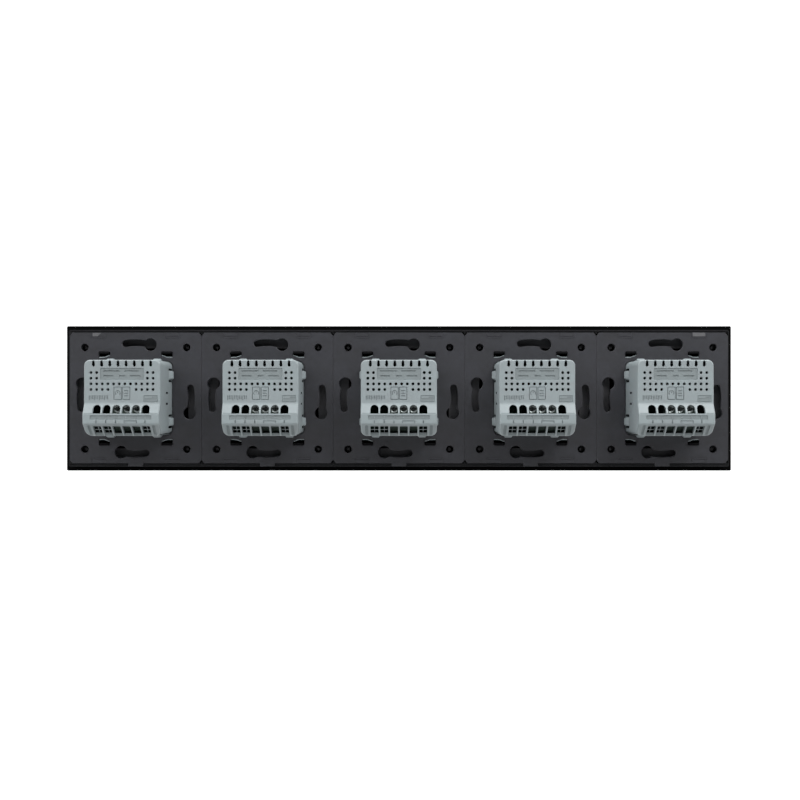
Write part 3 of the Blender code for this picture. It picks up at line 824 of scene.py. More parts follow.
def housing_mesh():
    in_u, in_top, in_bottom = HOUSE_U - WALL, HOUSE_TOP - WALL, HOUSE_BOTTOM + WALL

    def flange(bm):
        low = LATCH_Z0 + 0.35
        quarter = [(21.5, low - 1.5), (21.35, low - 0.9), (20.9, low - 0.3), (20.0, low)]
        quarter += [
            (
                LATCH_BEND_U + (LATCH_U0 - LATCH_BEND_U) * k / 6,
                low + LATCH_BEND_Z * (0.5 - 0.5 * math.cos(math.pi * k / 6)),
            )
            for k in range(0, 7)
        ]
        outline = quarter + [(-u, z) for u, z in reversed(quarter)]
        outline += [(-u, -z) for u, z in outline]
        prism_h(bm, outline, -3.4, -2.2)

    def barbs(bm):
        """Snap barbs with eased corners: rings along the wall, thinner at both ends."""
        shape = [(0.4, -0.4), (0.4, 0.55), (0.65, 0.8), (1.9, 1.42), (2.4, 1.55), (3.3, 1.55), (3.7, 1.42), (6.0, 0.12), (6.2, -0.4)]
        cuts = ((-2.15, 0.55), (-2.0, 0.8), (-1.7, 0.95), (-1.3, 1.0), (1.3, 1.0), (1.7, 0.95), (2.0, 0.8), (2.15, 0.55))
        for side in (-1, 1):
            c = side * 12.45
            for wall, sign in ((HOUSE_TOP, 1), (HOUSE_BOTTOM, -1)):
                rings(bm, [[at(c + t, h, wall + sign * (out * k if out > 0 else out)) for h, out in shape] for t, k in cuts])
            for sign in (-1, 1):
                rings(bm, [[at(sign * (HOUSE_U + (out * k if out > 0 else out)), h, c + t) for h, out in shape] for t, k in cuts])

    def room(bm):
        prism_h(bm, round_rect(-in_u, in_u, in_bottom, in_top, 1.6, 5), -6.0, 33.0)

    cavity = carved("room", room, [("DIFFERENCE", lambda bm: prism_u(bm, above_room(), -29.0, 29.0))])

    def vents(bm):
        for u, z in dot_places():
            hole_h(bm, circle(u, z, 0.74, 20), UPPER - WALL - 1, UPPER, 0.04)
        for i in range(8):
            # Through the rear wall, with a steep floor across the top wall.
            c = (i - 3.5) * 4.19
            turn = [math.pi * k / 6 for k in range(7)]
            line = [(c + 0.58 * math.cos(t), 18.95 + 0.58 * math.sin(t)) for t in turn]
            line += [(c - 0.78 * math.cos(t), 17.0 - 0.78 * math.sin(t)) for t in turn]
            wide = grown(line, 0.10)
            rings(
                bm,
                [
                    [at(u, 15.5 + (z - 18.25) * 3.73, z) for u, z in line],
                    [at(u, UPPER - 0.10, z) for u, z in line],
                    [at(u, UPPER + 0.002, z) for u, z in wide],
                    [at(u, UPPER + 2.0, z) for u, z in wide],
                ],
            )
        for side in (-1, 1):
            for z in (-2.85, 2.85):
                # Small slots in the side walls.
                a = side * (HOUSE_U - WALL - 0.4)
                b = side * (HOUSE_U + 1.0)
                rings(bm, [[at(uu, h, z + dz) for dz, h in stadium(0.0, 9.4, 12.6, 0.55)] for uu in (a, b)])

    def relief(bm):
        for side in (-1, 1):
            for c0 in (9.2, 15.35):
                c = side * c0
                a, b = c - 0.6, c + 0.6
                top = [(a, 0.2), (b, 0.2), (b, 7.0), (b - 0.15, 7.25), (b - 0.5, 7.4), (a + 0.15, 7.25), (a, 7.0)]
                prism_z(bm, top, in_top - 0.5, HOUSE_TOP + 1)
                prism_z(bm, top, HOUSE_BOTTOM - 1, in_bottom + 0.5)
                prism_u(bm, top, in_u - 0.5, HOUSE_U + 1)
                prism_u(bm, top, -HOUSE_U - 1, -in_u + 0.5)

    def arches(bm):
        for i in range(WAYS):
            u = way_u(i)
            prism_h(bm, arch(u), UPPER - WALL - 1.5, HIGH + 1)

    def trough_plan(bm):
        """Outlines of the troughs on the sloping face, one a wire entry, and a narrow one at each side."""
        spans = [(way_u(i) - 2.1, way_u(i) + 2.1, 1.25, 1.0) for i in range(WAYS)]
        spans += [(side * 16.55 - 0.75, side * 16.55 + 0.75, 0.9, 0.6) for side in (-1, 1)]
        for a, b, top, r in spans:
            outline = [(b, 12.0), (b, top + r)]
            outline += [(b - r + r * math.cos(math.radians(w)), top + r - r * math.sin(math.radians(w))) for w in (22.5, 45, 67.5, 90)]
            outline += [(a + r - r * math.sin(math.radians(w)), top + r - r * math.cos(math.radians(w))) for w in (0, 22.5, 45, 67.5)]
            outline += [(a, top + r), (a, 12.0)]
            rings(bm, [[slope(u, s, v) for u, s in outline] for v in (-3.0, 3.0)])

    def trough_depth(bm):
        """Sections of the same troughs, with a ramp at the foot."""
        for a, b, deep in [(way_u(i) - 2.3, way_u(i) + 2.3, TROUGH) for i in range(WAYS)] + [(-18.0, -15.2, 0.4), (15.2, 18.0, 0.4)]:
            section = [(0.2, 2.0), (0.2, -deep), (6.6, -deep), (8.3, -0.3), (11.0, 0.1), (11.0, 2.0)]
            rings(bm, [[slope(u, s, v) for s, v in section] for u in (a, b)])

    troughs = carved("troughs", trough_plan, [("INTERSECT", trough_depth)])

    def entries(bm):
        for i in range(WAYS):
            u = way_u(i)
            if i in FITTED:
                box(bm, u - WAY_HALF, u + WAY_HALF, 17.0, HIGH + 2, -17.95, -14.5)
            else:
                for a, b in ((-WAY_HALF, -0.14), (0.14, WAY_HALF)):
                    for c, d in ((-17.62, -16.22), (-15.92, -14.48)):
                        box(bm, u + a, u + b, 17.0, HIGH + 2, c, d)

    def grid_beds(bm):
        """The blocked entries' grids lie below the floor of their troughs."""
        low = HIGH - BEVEL_Z - (TROUGH + 0.2) * math.sqrt(2)
        for i in range(WAYS):
            if i not in FITTED:
                a, b = way_u(i) - WAY_HALF - 0.03, way_u(i) + WAY_HALF + 0.03
                prism_u(bm, [(-14.45, low - 14.45), (-17.65, low - 17.65), (-17.65, 31.0), (-14.45, 31.0)], a, b)

    def lips(bm):
        """Upright lips on the flange, along the inner edges of the plate's latch slots."""
        for su in (-1, 1):
            for sz in (-1, 1):
                def edge(by):
                    z = LATCH_Z0 + by
                    line = [(LATCH_U1 - 0.15, z), (LATCH_BEND_U, z)]
                    line += [
                        (LATCH_BEND_U + (LATCH_U0 - LATCH_BEND_U) * k / 6, z + LATCH_BEND_Z * (0.5 - 0.5 * math.cos(math.pi * k / 6)))
                        for k in range(1, 7)
                    ]
                    line[-1] = (LATCH_U0 + 0.15, line[-1][1])
                    return line

                outline = [(su * u, sz * z) for u, z in edge(0.06) + edge(0.5)[::-1]]
                rings(bm, [[at(u, h, z) for u, z in outline] for h in (-3.0, -0.3)])

    def recesses(bm):
        # Label field, and the band under the arches.
        for outline, face, depth in (
            (round_rect(-11.25, 11.25, 9.4, 15.5, 0.5, 3), UPPER, LABEL_DEEP),
            (round_rect(-15.7, 15.7, -10.95, -8.75, 0.35, 3), HIGH, BAND_DEEP),
            (round_rect(11.1, 18.3, -2.1, 1.5, 0.3, 3), UPPER, 0.2),
        ):
            hole_h(bm, outline, face - depth, face, 0.08)

    def marks(bm):
        d = MARK_DEEP
        frame_prism(bm, -4.25, -0.12, -0.75, 5.95, 0.32, UPPER - d, UPPER + 1)
        frame_prism(bm, 0.22, 4.25, -0.75, 5.95, 0.32, UPPER - d, UPPER + 1)
        # Leader lines from the numbers to the entries, and a bracket over a pair of ways.
        for i in range(WAYS):
            if i in (3, 4):
                continue
            u = way_u(i)
            box(bm, u - 0.28, u + 0.28, HIGH - d, HIGH + 1, -12.8, -11.25)
        a, b = way_u(3) - 0.8, way_u(4) + 0.8
        bracket = [(a, -11.35), (a, -12.7), (a + 0.36, -12.7), (a + 0.36, -11.71), (b - 0.36, -11.71), (b - 0.36, -12.7), (b, -12.7), (b, -11.35)]
        prism_h(bm, bracket, HIGH - d, HIGH + 1)
        # Plain scale ticks at the left.
        for k in range(12):
            u = -16.9 + 0.86 * k
            box(bm, u, u + 0.32, UPPER - d, UPPER + 1, -0.5 if k % 3 else -1.0, 1.5)

    def symbols(bm):
        d = MARK_DEEP
        # Left frame: a plain dial arc with its pointer. Right frame: three plain bars.
        outer, inner = 1.4, 1.1
        cu, cz = -2.16, 2.7
        points = [(cu + outer * math.cos(math.radians(a)), cz + outer * math.sin(math.radians(a))) for a in range(-45, 226, 15)]
        points += [(cu + inner * math.cos(math.radians(a)), cz + inner * math.sin(math.radians(a))) for a in range(225, -46, -15)]
        prism_h(bm, points, UPPER - d, UPPER + 1)
        box(bm, cu - 0.13, cu + 0.13, UPPER - d, UPPER + 1, cz - 0.1, cz + 0.8)
        for z in (1.3, 2.6, 3.9):
            box(bm, 1.1, 3.3, UPPER - d, UPPER + 1, z - 0.19, z + 0.19)
        # Plain bars, sunk below the floor of the label field.
        for a, b, z in ((-9.6, -1.0, 14.0), (1.2, 8.6, 14.0), (-9.6, -4.6, 11.5), (-1.4, 1.6, 11.5), (4.0, 9.4, 11.5)):
            box(bm, a, b, UPPER - LABEL_DEEP - 0.36, UPPER + 1, z - 0.32, z + 0.32)

    digits = []
    for i in range(WAYS):
        mesh = digit_mesh(str(i + 1), 1.75, 0.2)
        place = Matrix.Translation(at(way_u(i), HIGH - BAND_DEEP + 0.08, -9.87)) @ Matrix.Rotation(math.pi, 4, "Z") @ Matrix.Rotation(math.pi / 2, 4, "X")
        mesh.transform(place)
        digits.append(mesh)
    bar = mesh_of(
        "gauge",
        lambda bm: [
            box(bm, 11.6, 15.3, UPPER - 0.22, UPPER - 0.02, 0.25, 0.95),
            box(bm, 15.32, 17.8, UPPER - 0.22, UPPER - 0.02, 0.5, 0.7),
            prism_h(bm, [(11.6, -1.6), (17.8, -1.6), (17.8, -0.6), (17.55, -0.6), (17.55, -1.32), (11.85, -1.32), (11.85, -0.6), (11.6, -0.6)], UPPER - 0.22, UPPER - 0.02),
        ],
    )

    mesh = carved(
        "rear_housing_moulding",
        shell_mesh(),
        [
            ("UNION", flange),
            ("UNION", barbs),
            ("DIFFERENCE", cavity),
            ("UNION", lips),
            ("DIFFERENCE", troughs),
            ("DIFFERENCE", grid_beds),
            ("DIFFERENCE", entries),
            ("DIFFERENCE", relief),
            ("DIFFERENCE", vents),
            ("DIFFERENCE", arches),
            ("DIFFERENCE", recesses),
            ("DIFFERENCE", marks),
            ("DIFFERENCE", symbols),
        ],
    )
    # The sunk fields and trough floors are painted darker as shade in the recesses, with the mould's coarser, duller
    # finish; the room inside and the slots are painted dark as shade.
    mesh.materials.append(LOOKS["housing"])
    mesh.materials.append(LOOKS["sunk"])
    mesh.materials.append(LOOKS["inside"])
    for face in mesh.polygons:
        u, h, z = -face.center.x / MM, face.center.y / MM - WALL_Y, face.center.z / MM
        # Floors of the label field, band, marks and bars: painted darker as shade.
        if face.normal.y > 0.95 and (UPPER - 0.75 < h < UPPER - 0.1 or HIGH - 0.6 < h < HIGH - 0.1):
            face.material_index = 1
        # Trough floors on the sloping face: painted darker as shade.
        elif z < -13.5 and h > 16.0 and -1.45 < math.sqrt(0.5) * ((h - HIGH) - (z - BEVEL_Z)) < -0.25:
            face.material_index = 1
        # The room inside: painted dark as shade.
        elif abs(u) < in_u + 0.01 and in_bottom - 0.01 < z < in_top + 0.01:
            if 0.2 < h < min(face_h(z, WALL), HIGH - BEVEL_Z - (TROUGH + 0.27) * math.sqrt(2) + z) + 0.02:
                face.material_index = 2
        elif abs(u) < HOUSE_U - 0.02 and HOUSE_BOTTOM + 0.02 < z < HOUSE_TOP - 0.02:
            # Inside the relief slots and the small slots: painted dark as shade.
            if 0.15 < h < 7.5 or (8.7 < h < 13.3 and abs(z) < 3.6):
                face.material_index = 2
    return mesh, digits + [bar]


# ------------------------------------------------------------ terminals
def block_mesh():
    first, last = way_u(FITTED[0]), way_u(FITTED[-1])

    def blank(bm):
        prism_u(bm, [(-2.9, 3.15), (-2.9, 23.4), (-3.1, 23.6), (-13.3, 23.6), (-13.5, 23.5), (-17.1, 19.9), (-17.2, 19.7), (-17.2, 3.15)], first - 2.6, last + 2.6)

    def wells(bm):
        for i in FITTED:
            hole_h(bm, circle(way_u(i), SCREW_Z, 2.28, 32), 20.0, 23.6, 0.08)

    def ways(bm):
        """Wire channels, closed by a thin flap that the wire pushes in."""
        for i in FITTED:
            u = way_u(i)
            prism_u(
                bm,
                [(-3.9, 18.6), (-8.4, 18.6), (-13.1, 23.3), (-17.0, 19.4), (-8.4, 10.4), (-8.4, 8.5), (-3.9, 8.5)],
                u - 1.9,
                u + 1.9,
            )

    def splits(bm):
        """The flaps' slits."""
        for i in FITTED:
            u = way_u(i)
            box(bm, u - 1.6, u + 1.6, 20.5, 24.5, -15.45, -15.2)

    def shafts(bm):
        for i in FITTED:
            prism_h(bm, circle(way_u(i), SCREW_Z, 1.4, 20), 18.0, 21.0)

    return carved("terminal_block", blank, [("DIFFERENCE", wells), ("DIFFERENCE", ways), ("DIFFERENCE", shafts), ("DIFFERENCE", splits)])


def screw_mesh():
    """Slotted terminal screw with a rolled thread, about its own axis point."""
    sides, turns, pitch = 20, 11, 0.5
    seat, top, tip = 20.2, 23.8, 13.4

    def thread(bm):
        # Rings that climb by a fraction of the pitch, with the radius following the thread.
        steps = turns * 5
        loops = []
        for k in range(steps + 1):
            h = tip + 0.45 + (seat - 1.4 - tip - 0.45) * k / steps
            loop = []
            for i in range(sides):
                a = 2 * math.pi * i / sides
                wave = 0.5 + 0.5 * math.cos(2 * math.pi * (h / pitch) - a)
                loop.append(at((0.93 + 0.17 * wave) * math.cos(a), h, SCREW_Z + (0.93 + 0.17 * wave) * math.sin(a)))
            loops.append(loop)
        start = [at(0.7 * math.cos(2 * math.pi * i / sides), tip, SCREW_Z + 0.7 * math.sin(2 * math.pi * i / sides)) for i in range(sides)]
        ends = [
            [at(r * math.cos(2 * math.pi * i / sides), h, SCREW_Z + r * math.sin(2 * math.pi * i / sides)) for i in range(sides)]
            for r, h in (
                (1.0, seat - 1.3),
                (1.0, seat - 0.05),
                (1.1, seat),
                (2.02, seat),
                (2.16, seat + 0.12),
                (2.16, top - 0.10),
                (2.14, top - 0.03),
                (2.11, top),
                (2.07, top - 0.01),
                (2.00, top - 0.05),
                (1.52, top - 0.28),
                (1.34, top - 0.32),
                (0.3, top - 0.33),
            )
        ]
        rings(bm, [start] + loops + ends)

    def slots(bm):
        box(bm, -3.0, 3.0, top - 1.3, top + 1, SCREW_Z - 0.27, SCREW_Z + 0.27)

    def cross(bm):
        box(bm, -0.27, 0.27, top - 1.2, top + 1, SCREW_Z - 1.2, SCREW_Z + 1.2)

    mesh = carved("terminal_screw_turned", thread, [("DIFFERENCE", slots), ("DIFFERENCE", cross)])
    mesh.transform(Matrix.Translation(-at(0, seat, SCREW_Z)))
    return mesh


def cage_mesh():
    def blank(bm):
        shape = round_rect(-1.7, 1.7, 9.2, 15.8, 0.35, 4)
        rings(bm, [[at(u, h, z) for u, h in shape] for z in (-7.0, -4.2)])

    def wire_way(bm):
        shape = round_rect(-1.15, 1.15, 10.2, 14.8, 0.25, 3)
        rings(bm, [[at(u, h, z) for u, h in shape] for z in (-8.0, -3.2)])

    def thread(bm):
        prism_h(bm, circle(0, SCREW_Z, 1.2, 20), 13.8, 17.0)

    def ribs(bm):
        # Grip grooves across the clamping face; not used, the cage is cut without them.
        for k in range(3):
            z = -6.3 + 0.7 * k
            box(bm, -1.0, 1.0, 10.1, 10.32, z - 0.12, z + 0.12)

    mesh = carved("clamp_cage_bent", blank, [("DIFFERENCE", wire_way), ("DIFFERENCE", thread)])
    mesh.transform(Matrix.Translation(-at(0, 20.2, SCREW_Z)))
    return mesh


def lathe(bm, cu, cz, line, sides=28):
    """Turned body about an axis along h. line is (radius, h) from front to rear."""
    rings(
        bm,
        [
            [at(cu + r * math.cos(2 * math.pi * i / sides), h, cz + r * math.sin(2 * math.pi * i / sides)) for i in range(sides)]
            for r, h in line
        ],
    )


def board_mesh():
    def blank(bm):
        prism_h(bm, round_rect(-17.5, 17.5, -17.4, 17.7, 0.8, 4), 1.5, 3.1)

    def drilled(bm):
        for i in FITTED:
            for z in (-15.0, -10.0):
                prism_h(bm, circle(way_u(i), z, 0.5, 12), 0.5, 4.0)

    return carved("power_board_laminate", blank, [("DIFFERENCE", drilled)])


def capacitor_mesh():
    def fill(bm):
        lathe(bm, 9.5, 10.5, [(3.6, 3.15), (4.0, 3.5), (4.0, 4.3), (3.75, 4.6), (3.75, 4.9), (4.0, 5.2), (4.0, 15.0), (3.8, 15.4), (3.2, 15.5)])

    return mesh_of("capacitor", fill)


def choke_mesh():
    def fill(bm):
        line = [(2.2, 3.15), (4.7, 3.2), (4.8, 3.4), (4.8, 4.0), (3.9, 4.1)]
        for k in range(8):
            h = 4.2 + k * 0.42
            line += [(4.25, h + 0.1), (4.25, h + 0.3), (4.12, h + 0.4)]
        line += [(3.9, 7.7), (4.8, 7.8), (4.8, 8.4), (4.7, 8.6), (2.2, 8.6)]
        lathe(bm, -1.0, 8.0, line)

    return mesh_of("choke", fill)


def chip_mesh(name, u0, u1, h0, h1, z0, z1, r=0.3):
    def fill(bm):
        rings(
            bm,
            [
                [at(u, h, z) for u, z in round_rect(u0 + i, u1 - i, z0 + i, z1 - i, r, 3)]
                for i, h in ((0.0, h0), (0.0, h1 - 0.3), (0.1, h1 - 0.1), (0.3, h1))
            ],
        )

    return mesh_of(name, fill)


# ------------------------------------------------------------ module cover and touch board
def cover_mesh():
    half = COVER_HALF

    def blank(bm):
        rings(
            bm,
            [
                [at(u, h, z) for u, z in round_rect(-half + i, half - i, -half + i, half - i, COVER_R - i, 8)]
                for i, h in (
                    (0.5, COVER_FRONT), (0.2, COVER_FRONT + 0.08), (0.0, COVER_FRONT + 0.35), (0.0, COVER_REAR - 0.2), (0.2, COVER_REAR),
                )
            ],
        )

    def pocket(bm):
        less = half - COVER_WALL
        hole_h(bm, round_rect(-less, less, -less, less, COVER_R - COVER_WALL, 6), COVER_FLOOR, COVER_REAR, 0.15)

    def window(bm):
        prism_h(bm, circle(0, 0, ELECTRODE + 1.0, 40), COVER_FRONT - 1, COVER_FLOOR + 1)

    def ribs(bm):
        """Stiffening ribs and board rests on the floor of the tray."""
        for side in (-1, 1):
            box(bm, side * 22.6 - 0.45, side * 22.6 + 0.45, COVER_FLOOR - 0.4, -3.6, -13.0, 13.0)
            for z in (-9.0, 0.0, 9.0):
                a, b = sorted((side * 22.9, side * 25.6))
                box(bm, a, b, COVER_FLOOR - 0.4, -3.9, z - 0.4, z + 0.4)

    def arms(bm):
        inner, outer = LATCH_Z1 - 1.0, LATCH_Z1 - 0.3
        shape = [
            (inner, COVER_FLOOR - 0.5), (outer, COVER_FLOOR - 0.5), (outer, 0.25), (outer + 0.45, 0.25), (outer + 0.58, 0.32),
            (outer + 0.58, 0.45), (outer + 0.05, 0.88), (outer - 0.1, 0.95), (inner + 0.1, 0.95), (inner, 0.85),
        ]
        for su in (-1, 1):
            a, b = sorted((su * (LATCH_U0 + 0.35), su * (LATCH_U1 - 0.35)))
            prism_u(bm, shape, a, b)
            prism_u(bm, [(-z, h) for z, h in shape], a, b)

    def slits(bm):
        """Slits beside the spring arms that let them flex."""
        for su in (-1, 1):
            for u in (LATCH_U0 - 0.25, LATCH_U1 + 0.25):
                for sz in (-1, 1):
                    a, b = sorted((sz * 22.4, sz * 25.0))
                    box(bm, su * u - 0.3, su * u + 0.3, COVER_FRONT - 1, COVER_FLOOR + 0.6, a, b)

    return carved(
        "module_cover_moulding",
        blank,
        [("DIFFERENCE", pocket), ("DIFFERENCE", window), ("UNION", ribs), ("UNION", arms), ("DIFFERENCE", slits)],
    )


def touch_meshes():
    """Laminate, sensing pad with its ring, controller with legs, light and socket strip."""
    laminate = mesh_of(
        "touch_laminate",
        lambda bm: rings(
            bm,
            [[at(u, h, z) for u, z in round_rect(-20 + i, 20 - i, -20 + i, 20 - i, 1.5, 5)] for i, h in ((0.06, -5.1), (0.0, -5.0), (0.0, -4.2), (0.06, -4.1))],
        ),
    )

    def pad(bm):
        lathe(bm, 0, 0, [(ELECTRODE - 0.3, -6.6), (ELECTRODE, -6.5), (ELECTRODE, -5.9), (ELECTRODE - 1.2, -5.7), (ELECTRODE - 1.2, -5.3), (ELECTRODE - 0.6, -5.14)], 48)

    def chip(bm):
        rings(
            bm,
            [
                [at(u, h, z) for u, z in round_rect(9.4 + i, 13.6 - i, -2.6 + i, 1.6 - i, 0.15, 2)]
                for i, h in ((0.1, -4.0), (0.0, -3.85), (0.0, -3.55), (0.15, -3.35))
            ],
        )

    def legs(bm):
        for side, u in ((-1, 9.4), (1, 13.6)):
            for k in range(6):
                z = -2.2 + 0.68 * k
                shape = [(u - side * 0.1, -3.62), (u + side * 0.28, -3.62), (u + side * 0.42, -3.98), (u + side * 0.62, -3.98),
                         (u + side * 0.62, -4.08), (u + side * 0.34, -4.08), (u + side * 0.2, -3.74), (u - side * 0.1, -3.74)]
                prism_z(bm, shape, z - 0.14, z + 0.14)

    def light(bm):
        rings(
            bm,
            [
                [at(u, h, z) for u, z in round_rect(-14 + i, -10.5 - i, -8 + i, -6 - i, 0.3, 3)]
                for i, h in ((0.0, -4.08), (0.0, -3.75), (0.35, -3.6), (0.6, -3.52))
            ],
        )

    def socket(bm):
        rings(
            bm,
            [
                [at(u, h, z) for u, z in round_rect(-9 + i, -4 - i, 9.5 + i, 12 - i, 0.2, 2)]
                for i, h in ((0.0, -4.08), (0.0, -2.8), (0.12, -2.65))
            ],
        )

    def sockets(bm):
        for k in range(4):
            u = -8.2 + 1.13 * k
            for z in (10.2, 11.3):
                box(bm, u - 0.3, u + 0.3, -3.6, -2.0, z - 0.3, z + 0.3)

    return [
        ("touch_laminate", laminate, "board"),
        ("sensing_pad", mesh_of("sensing_pad", pad), "pad"),
        ("touch_controller", mesh_of("touch_controller", chip), "epoxy"),
        ("controller_legs", mesh_of("controller_legs", legs), "tin"),
        ("indicator_light", mesh_of("indicator_light", light), "lens"),
        ("socket_strip", carved("socket_strip", socket, [("DIFFERENCE", sockets)]), "epoxy"),
    ]


# ------------------------------------------------------------ assembly
glass = piece("glass_front", glass_mesh(), LOOKS["glass"], "front_panel", stands_for=["glass_panel"], sharp=50)
skirt = piece("panel_frame_moulding", frame_mesh(), LOOKS["frame"], "front_panel", stands_for=["panel_frame"])

plate_m = plate_mesh()
house_m, raised = housing_mesh()
block_m, board_m, cap_m, choke_m = block_mesh(), board_mesh(), capacitor_mesh(), choke_mesh()
triac_m = chip_mesh("power_semiconductor", -16.0, -6.5, 3.2, 12.4, 12.2, 16.4)
fuse_m = chip_mesh("fuse", -15.5, -11.7, 3.2, 9.4, -1.9, 7.9, 0.9)
strip_m = chip_mesh("pin_strip", 4.0, 9.0, -3.85, 1.4, 14.0, 16.2, 0.15)
screw_m, cage_m = screw_mesh(), cage_mesh()
cover_m, touch_m = cover_mesh(), touch_meshes()

for n in GANGS:
    where = gang_at(n)
    piece(f"mounting_plate_moulding_{n}", plate_m, LOOKS["plate"], location=where, stands_for=[f"mounting_plate_{n}"])
    piece(f"rear_housing_moulding_{n}", house_m, LOOKS["housing"], location=where, stands_for=[f"rear_housing_{n}"])
    for k, mesh in enumerate(raised):
        tag = f"number_{k + 1}" if k < WAYS else "strip_gauge"
        piece(f"{tag}_{n}", mesh, LOOKS["housing"], location=where)
    power = f"power_board_{n}"
    piece(f"terminal_block_{n}", block_m, LOOKS["block"], location=where, stands_for=[power])
    piece(f"power_laminate_{n}", board_m, LOOKS["board"], location=where, stands_for=[power])
    piece(f"capacitor_{n}", cap_m, LOOKS["can"], location=where, stands_for=[power])
    piece(f"choke_{n}", choke_m, LOOKS["copper"], location=where, stands_for=[power])
    piece(f"power_semiconductor_{n}", triac_m, LOOKS["epoxy"], location=where, stands_for=[power])
    piece(f"fuse_{n}", fuse_m, LOOKS["ferrite"], location=where, stands_for=[power])
    piece(f"pin_strip_{n}", strip_m, LOOKS["epoxy"], location=where, stands_for=[power])
    for letter, i in zip("abc", reversed(FITTED)):
        spot = where + at(0, 20.2, SCREW_Z) + Vector((-way_u(i) * MM, 0, 0))
        screw = piece(f"terminal_screw_turned_{n}_{letter}", screw_m, LOOKS["screw"], f"terminal_screw_{n}_{letter}", spot,
                      [f"terminal_screw_{n}_{letter}"])
        piece(f"clamp_cage_bent_{n}_{letter}", cage_m, LOOKS["cage"], f"clamp_cage_{n}_{letter}", spot,
              [f"clamp_cage_{n}_{letter}"])
    piece(f"module_cover_moulding_{n}", cover_m, LOOKS["cover"], location=where, stands_for=[f"module_cover_{n}"])
    for tag, mesh, look in touch_m:
        piece(f"{tag}_{n}", mesh, LOOKS[look], location=where, stands_for=[f"touch_board_{n}"])


for draft in DRAFTS:
    bpy.data.meshes.remove(draft)


# ------------------------------------------------------------ stage, light, camera
FLOOR_Z = -0.34


def backdrop():
    """Pale floor that curves up into a wall behind the glass side."""
    bm = bmesh.new()
    line = [(1.8, FLOOR_Z)]
    for k in range(13):
        a = math.radians(90 * k / 12)
        line.append((-0.6 - 0.5 * math.sin(a), FLOOR_Z + 0.5 - 0.5 * math.cos(a)))
    line.append((-1.1, 2.2))
    rows = [[bm.verts.new((x, y, z)) for y, z in line] for x in (-2.6, -0.9, 0.9, 2.6)]
    for a, b in zip(rows, rows[1:]):
        for i in range(len(line) - 1):
            bm.faces.new((a[i], b[i], b[i + 1], a[i + 1]))
    mesh = bpy.data.meshes.new("studio_floor")
    bm.to_mesh(mesh)
    bm.free()
    mesh.shade_smooth()
    g = Graph("studio_paper")
    s = g.shader
    g.put(s.inputs["Base Color"], g.blend(g.noise(60.0, 3.0, 0.5), (0.40, 0.40, 0.40), (0.43, 0.43, 0.43)))
    s.inputs["Roughness"].default_value = 0.9
    s.inputs["Specular IOR Level"].default_value = 0.1
    s.inputs["Emission Color"].default_value = (1.0, 1.0, 1.0, 1.0)
    # Only the wall and the floor close to it glow, like a lit paper roll.
    g.put(s.inputs["Emission Strength"], g.spread(g.axes()[1], -0.34, -0.06, 1.0, 0.0, smooth=True))
    mesh.materials.append(g.mat)
    obj = bpy.data.objects.new("studio_floor", mesh)
    bpy.context.scene.collection.objects.link(obj)
    return obj


backdrop()


def area(name, place, target, size_x, size_y, power, colour=(1, 1, 1)):
    light = bpy.data.lights.new(name, "AREA")
    light.shape = "RECTANGLE"
    light.size, light.size_y = size_x, size_y
    light.energy = power
    light.color = colour
    obj = bpy.data.objects.new(name, light)
    bpy.context.scene.collection.objects.link(obj)
    obj.location = place
    direction = Vector(target) - Vector(place)
    obj.rotation_euler = direction.to_track_quat("-Z", "Y").to_euler()
    return obj


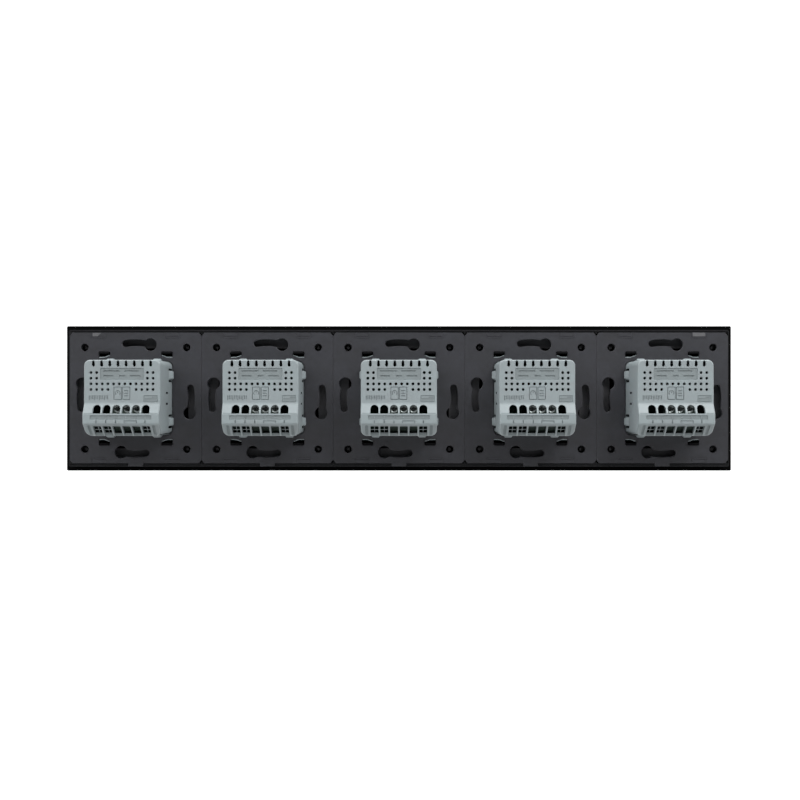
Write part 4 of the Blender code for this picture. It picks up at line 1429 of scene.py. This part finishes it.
area("top_softbox", (0.0, 0.36, 0.60), (0.0, 0.0, 0.0), 1.2, 0.75, 3.6, (0.98, 0.99, 1.0))
area("upper_left_softbox", (0.75, 0.40, 0.50), (0.0, 0.0, 0.0), 0.5, 0.5, 2.9, (0.98, 0.99, 1.0))
area("upper_right_softbox", (-0.75, 0.40, 0.50), (0.0, 0.0, 0.0), 0.5, 0.5, 1.9, (0.98, 0.99, 1.0))
area("key_softbox", (-0.34, 0.46, 0.46), (0.0, 0.0, 0.0), 0.13, 0.13, 1.0, (1.0, 1.0, 0.99))
area("left_softbox", (0.80, 0.30, 0.10), (0.0, 0.0, 0.0), 0.4, 0.7, 0.25, (0.99, 1.0, 1.0))
area("right_softbox", (-0.80, 0.30, 0.10), (0.0, 0.0, 0.0), 0.4, 0.7, 0.10, (0.98, 0.99, 1.0))
area("low_fill", (0.0, 0.75, -0.22), (0.0, 0.0, 0.0), 1.2, 0.15, 0.28)
area("front_fill", (0.0, -0.85, 1.0), (0.0, 0.0, 0.0), 1.4, 0.5, 3.0)

# Studio surroundings: lightest overhead, dim behind the photographer.
world = bpy.data.worlds.new("studio")
world.use_nodes = True
tree = world.node_tree
background = tree.nodes["Background"]
background.inputs["Color"].default_value = (0.97, 0.99, 1.0, 1.0)
direction = tree.nodes.new("ShaderNodeSeparateXYZ")
tree.links.new(tree.nodes.new("ShaderNodeTexCoord").outputs["Generated"], direction.inputs[0])


def ramp(source, low, high, to_low, to_high):
    node = tree.nodes.new("ShaderNodeMapRange")
    node.interpolation_type = "SMOOTHSTEP"
    tree.links.new(source, node.inputs["Value"])
    for key, v in (("From Min", low), ("From Max", high), ("To Min", to_low), ("To Max", to_high)):
        node.inputs[key].default_value = v
    return node.outputs[0]


glow = tree.nodes.new("ShaderNodeMath")
glow.operation = "MULTIPLY"
tree.links.new(ramp(direction.outputs["Z"], -0.35, 0.8, 0.13, 1.20), glow.inputs[0])
tree.links.new(ramp(direction.outputs["Y"], 0.54, 0.94, 0.90, 0.03), glow.inputs[1])
tree.links.new(glow.outputs[0], background.inputs["Strength"])
bpy.context.scene.world = world
bpy.context.scene.view_settings.view_transform = "Standard"
bpy.context.scene.view_settings.look = "None"

camera = bpy.data.cameras.new("camera")
camera.lens = 42.97
camera.sensor_width = 36.0
camera.clip_start = 0.01
camera_object = bpy.data.objects.new("camera", camera)
bpy.context.scene.collection.objects.link(camera_object)
camera_object.location = (-0.58 * MM, (WALL_Y + 515.0) * MM, -0.87 * MM)
camera_object.rotation_euler = (math.radians(90), 0.0, math.radians(180))
bpy.context.scene.camera = camera_object
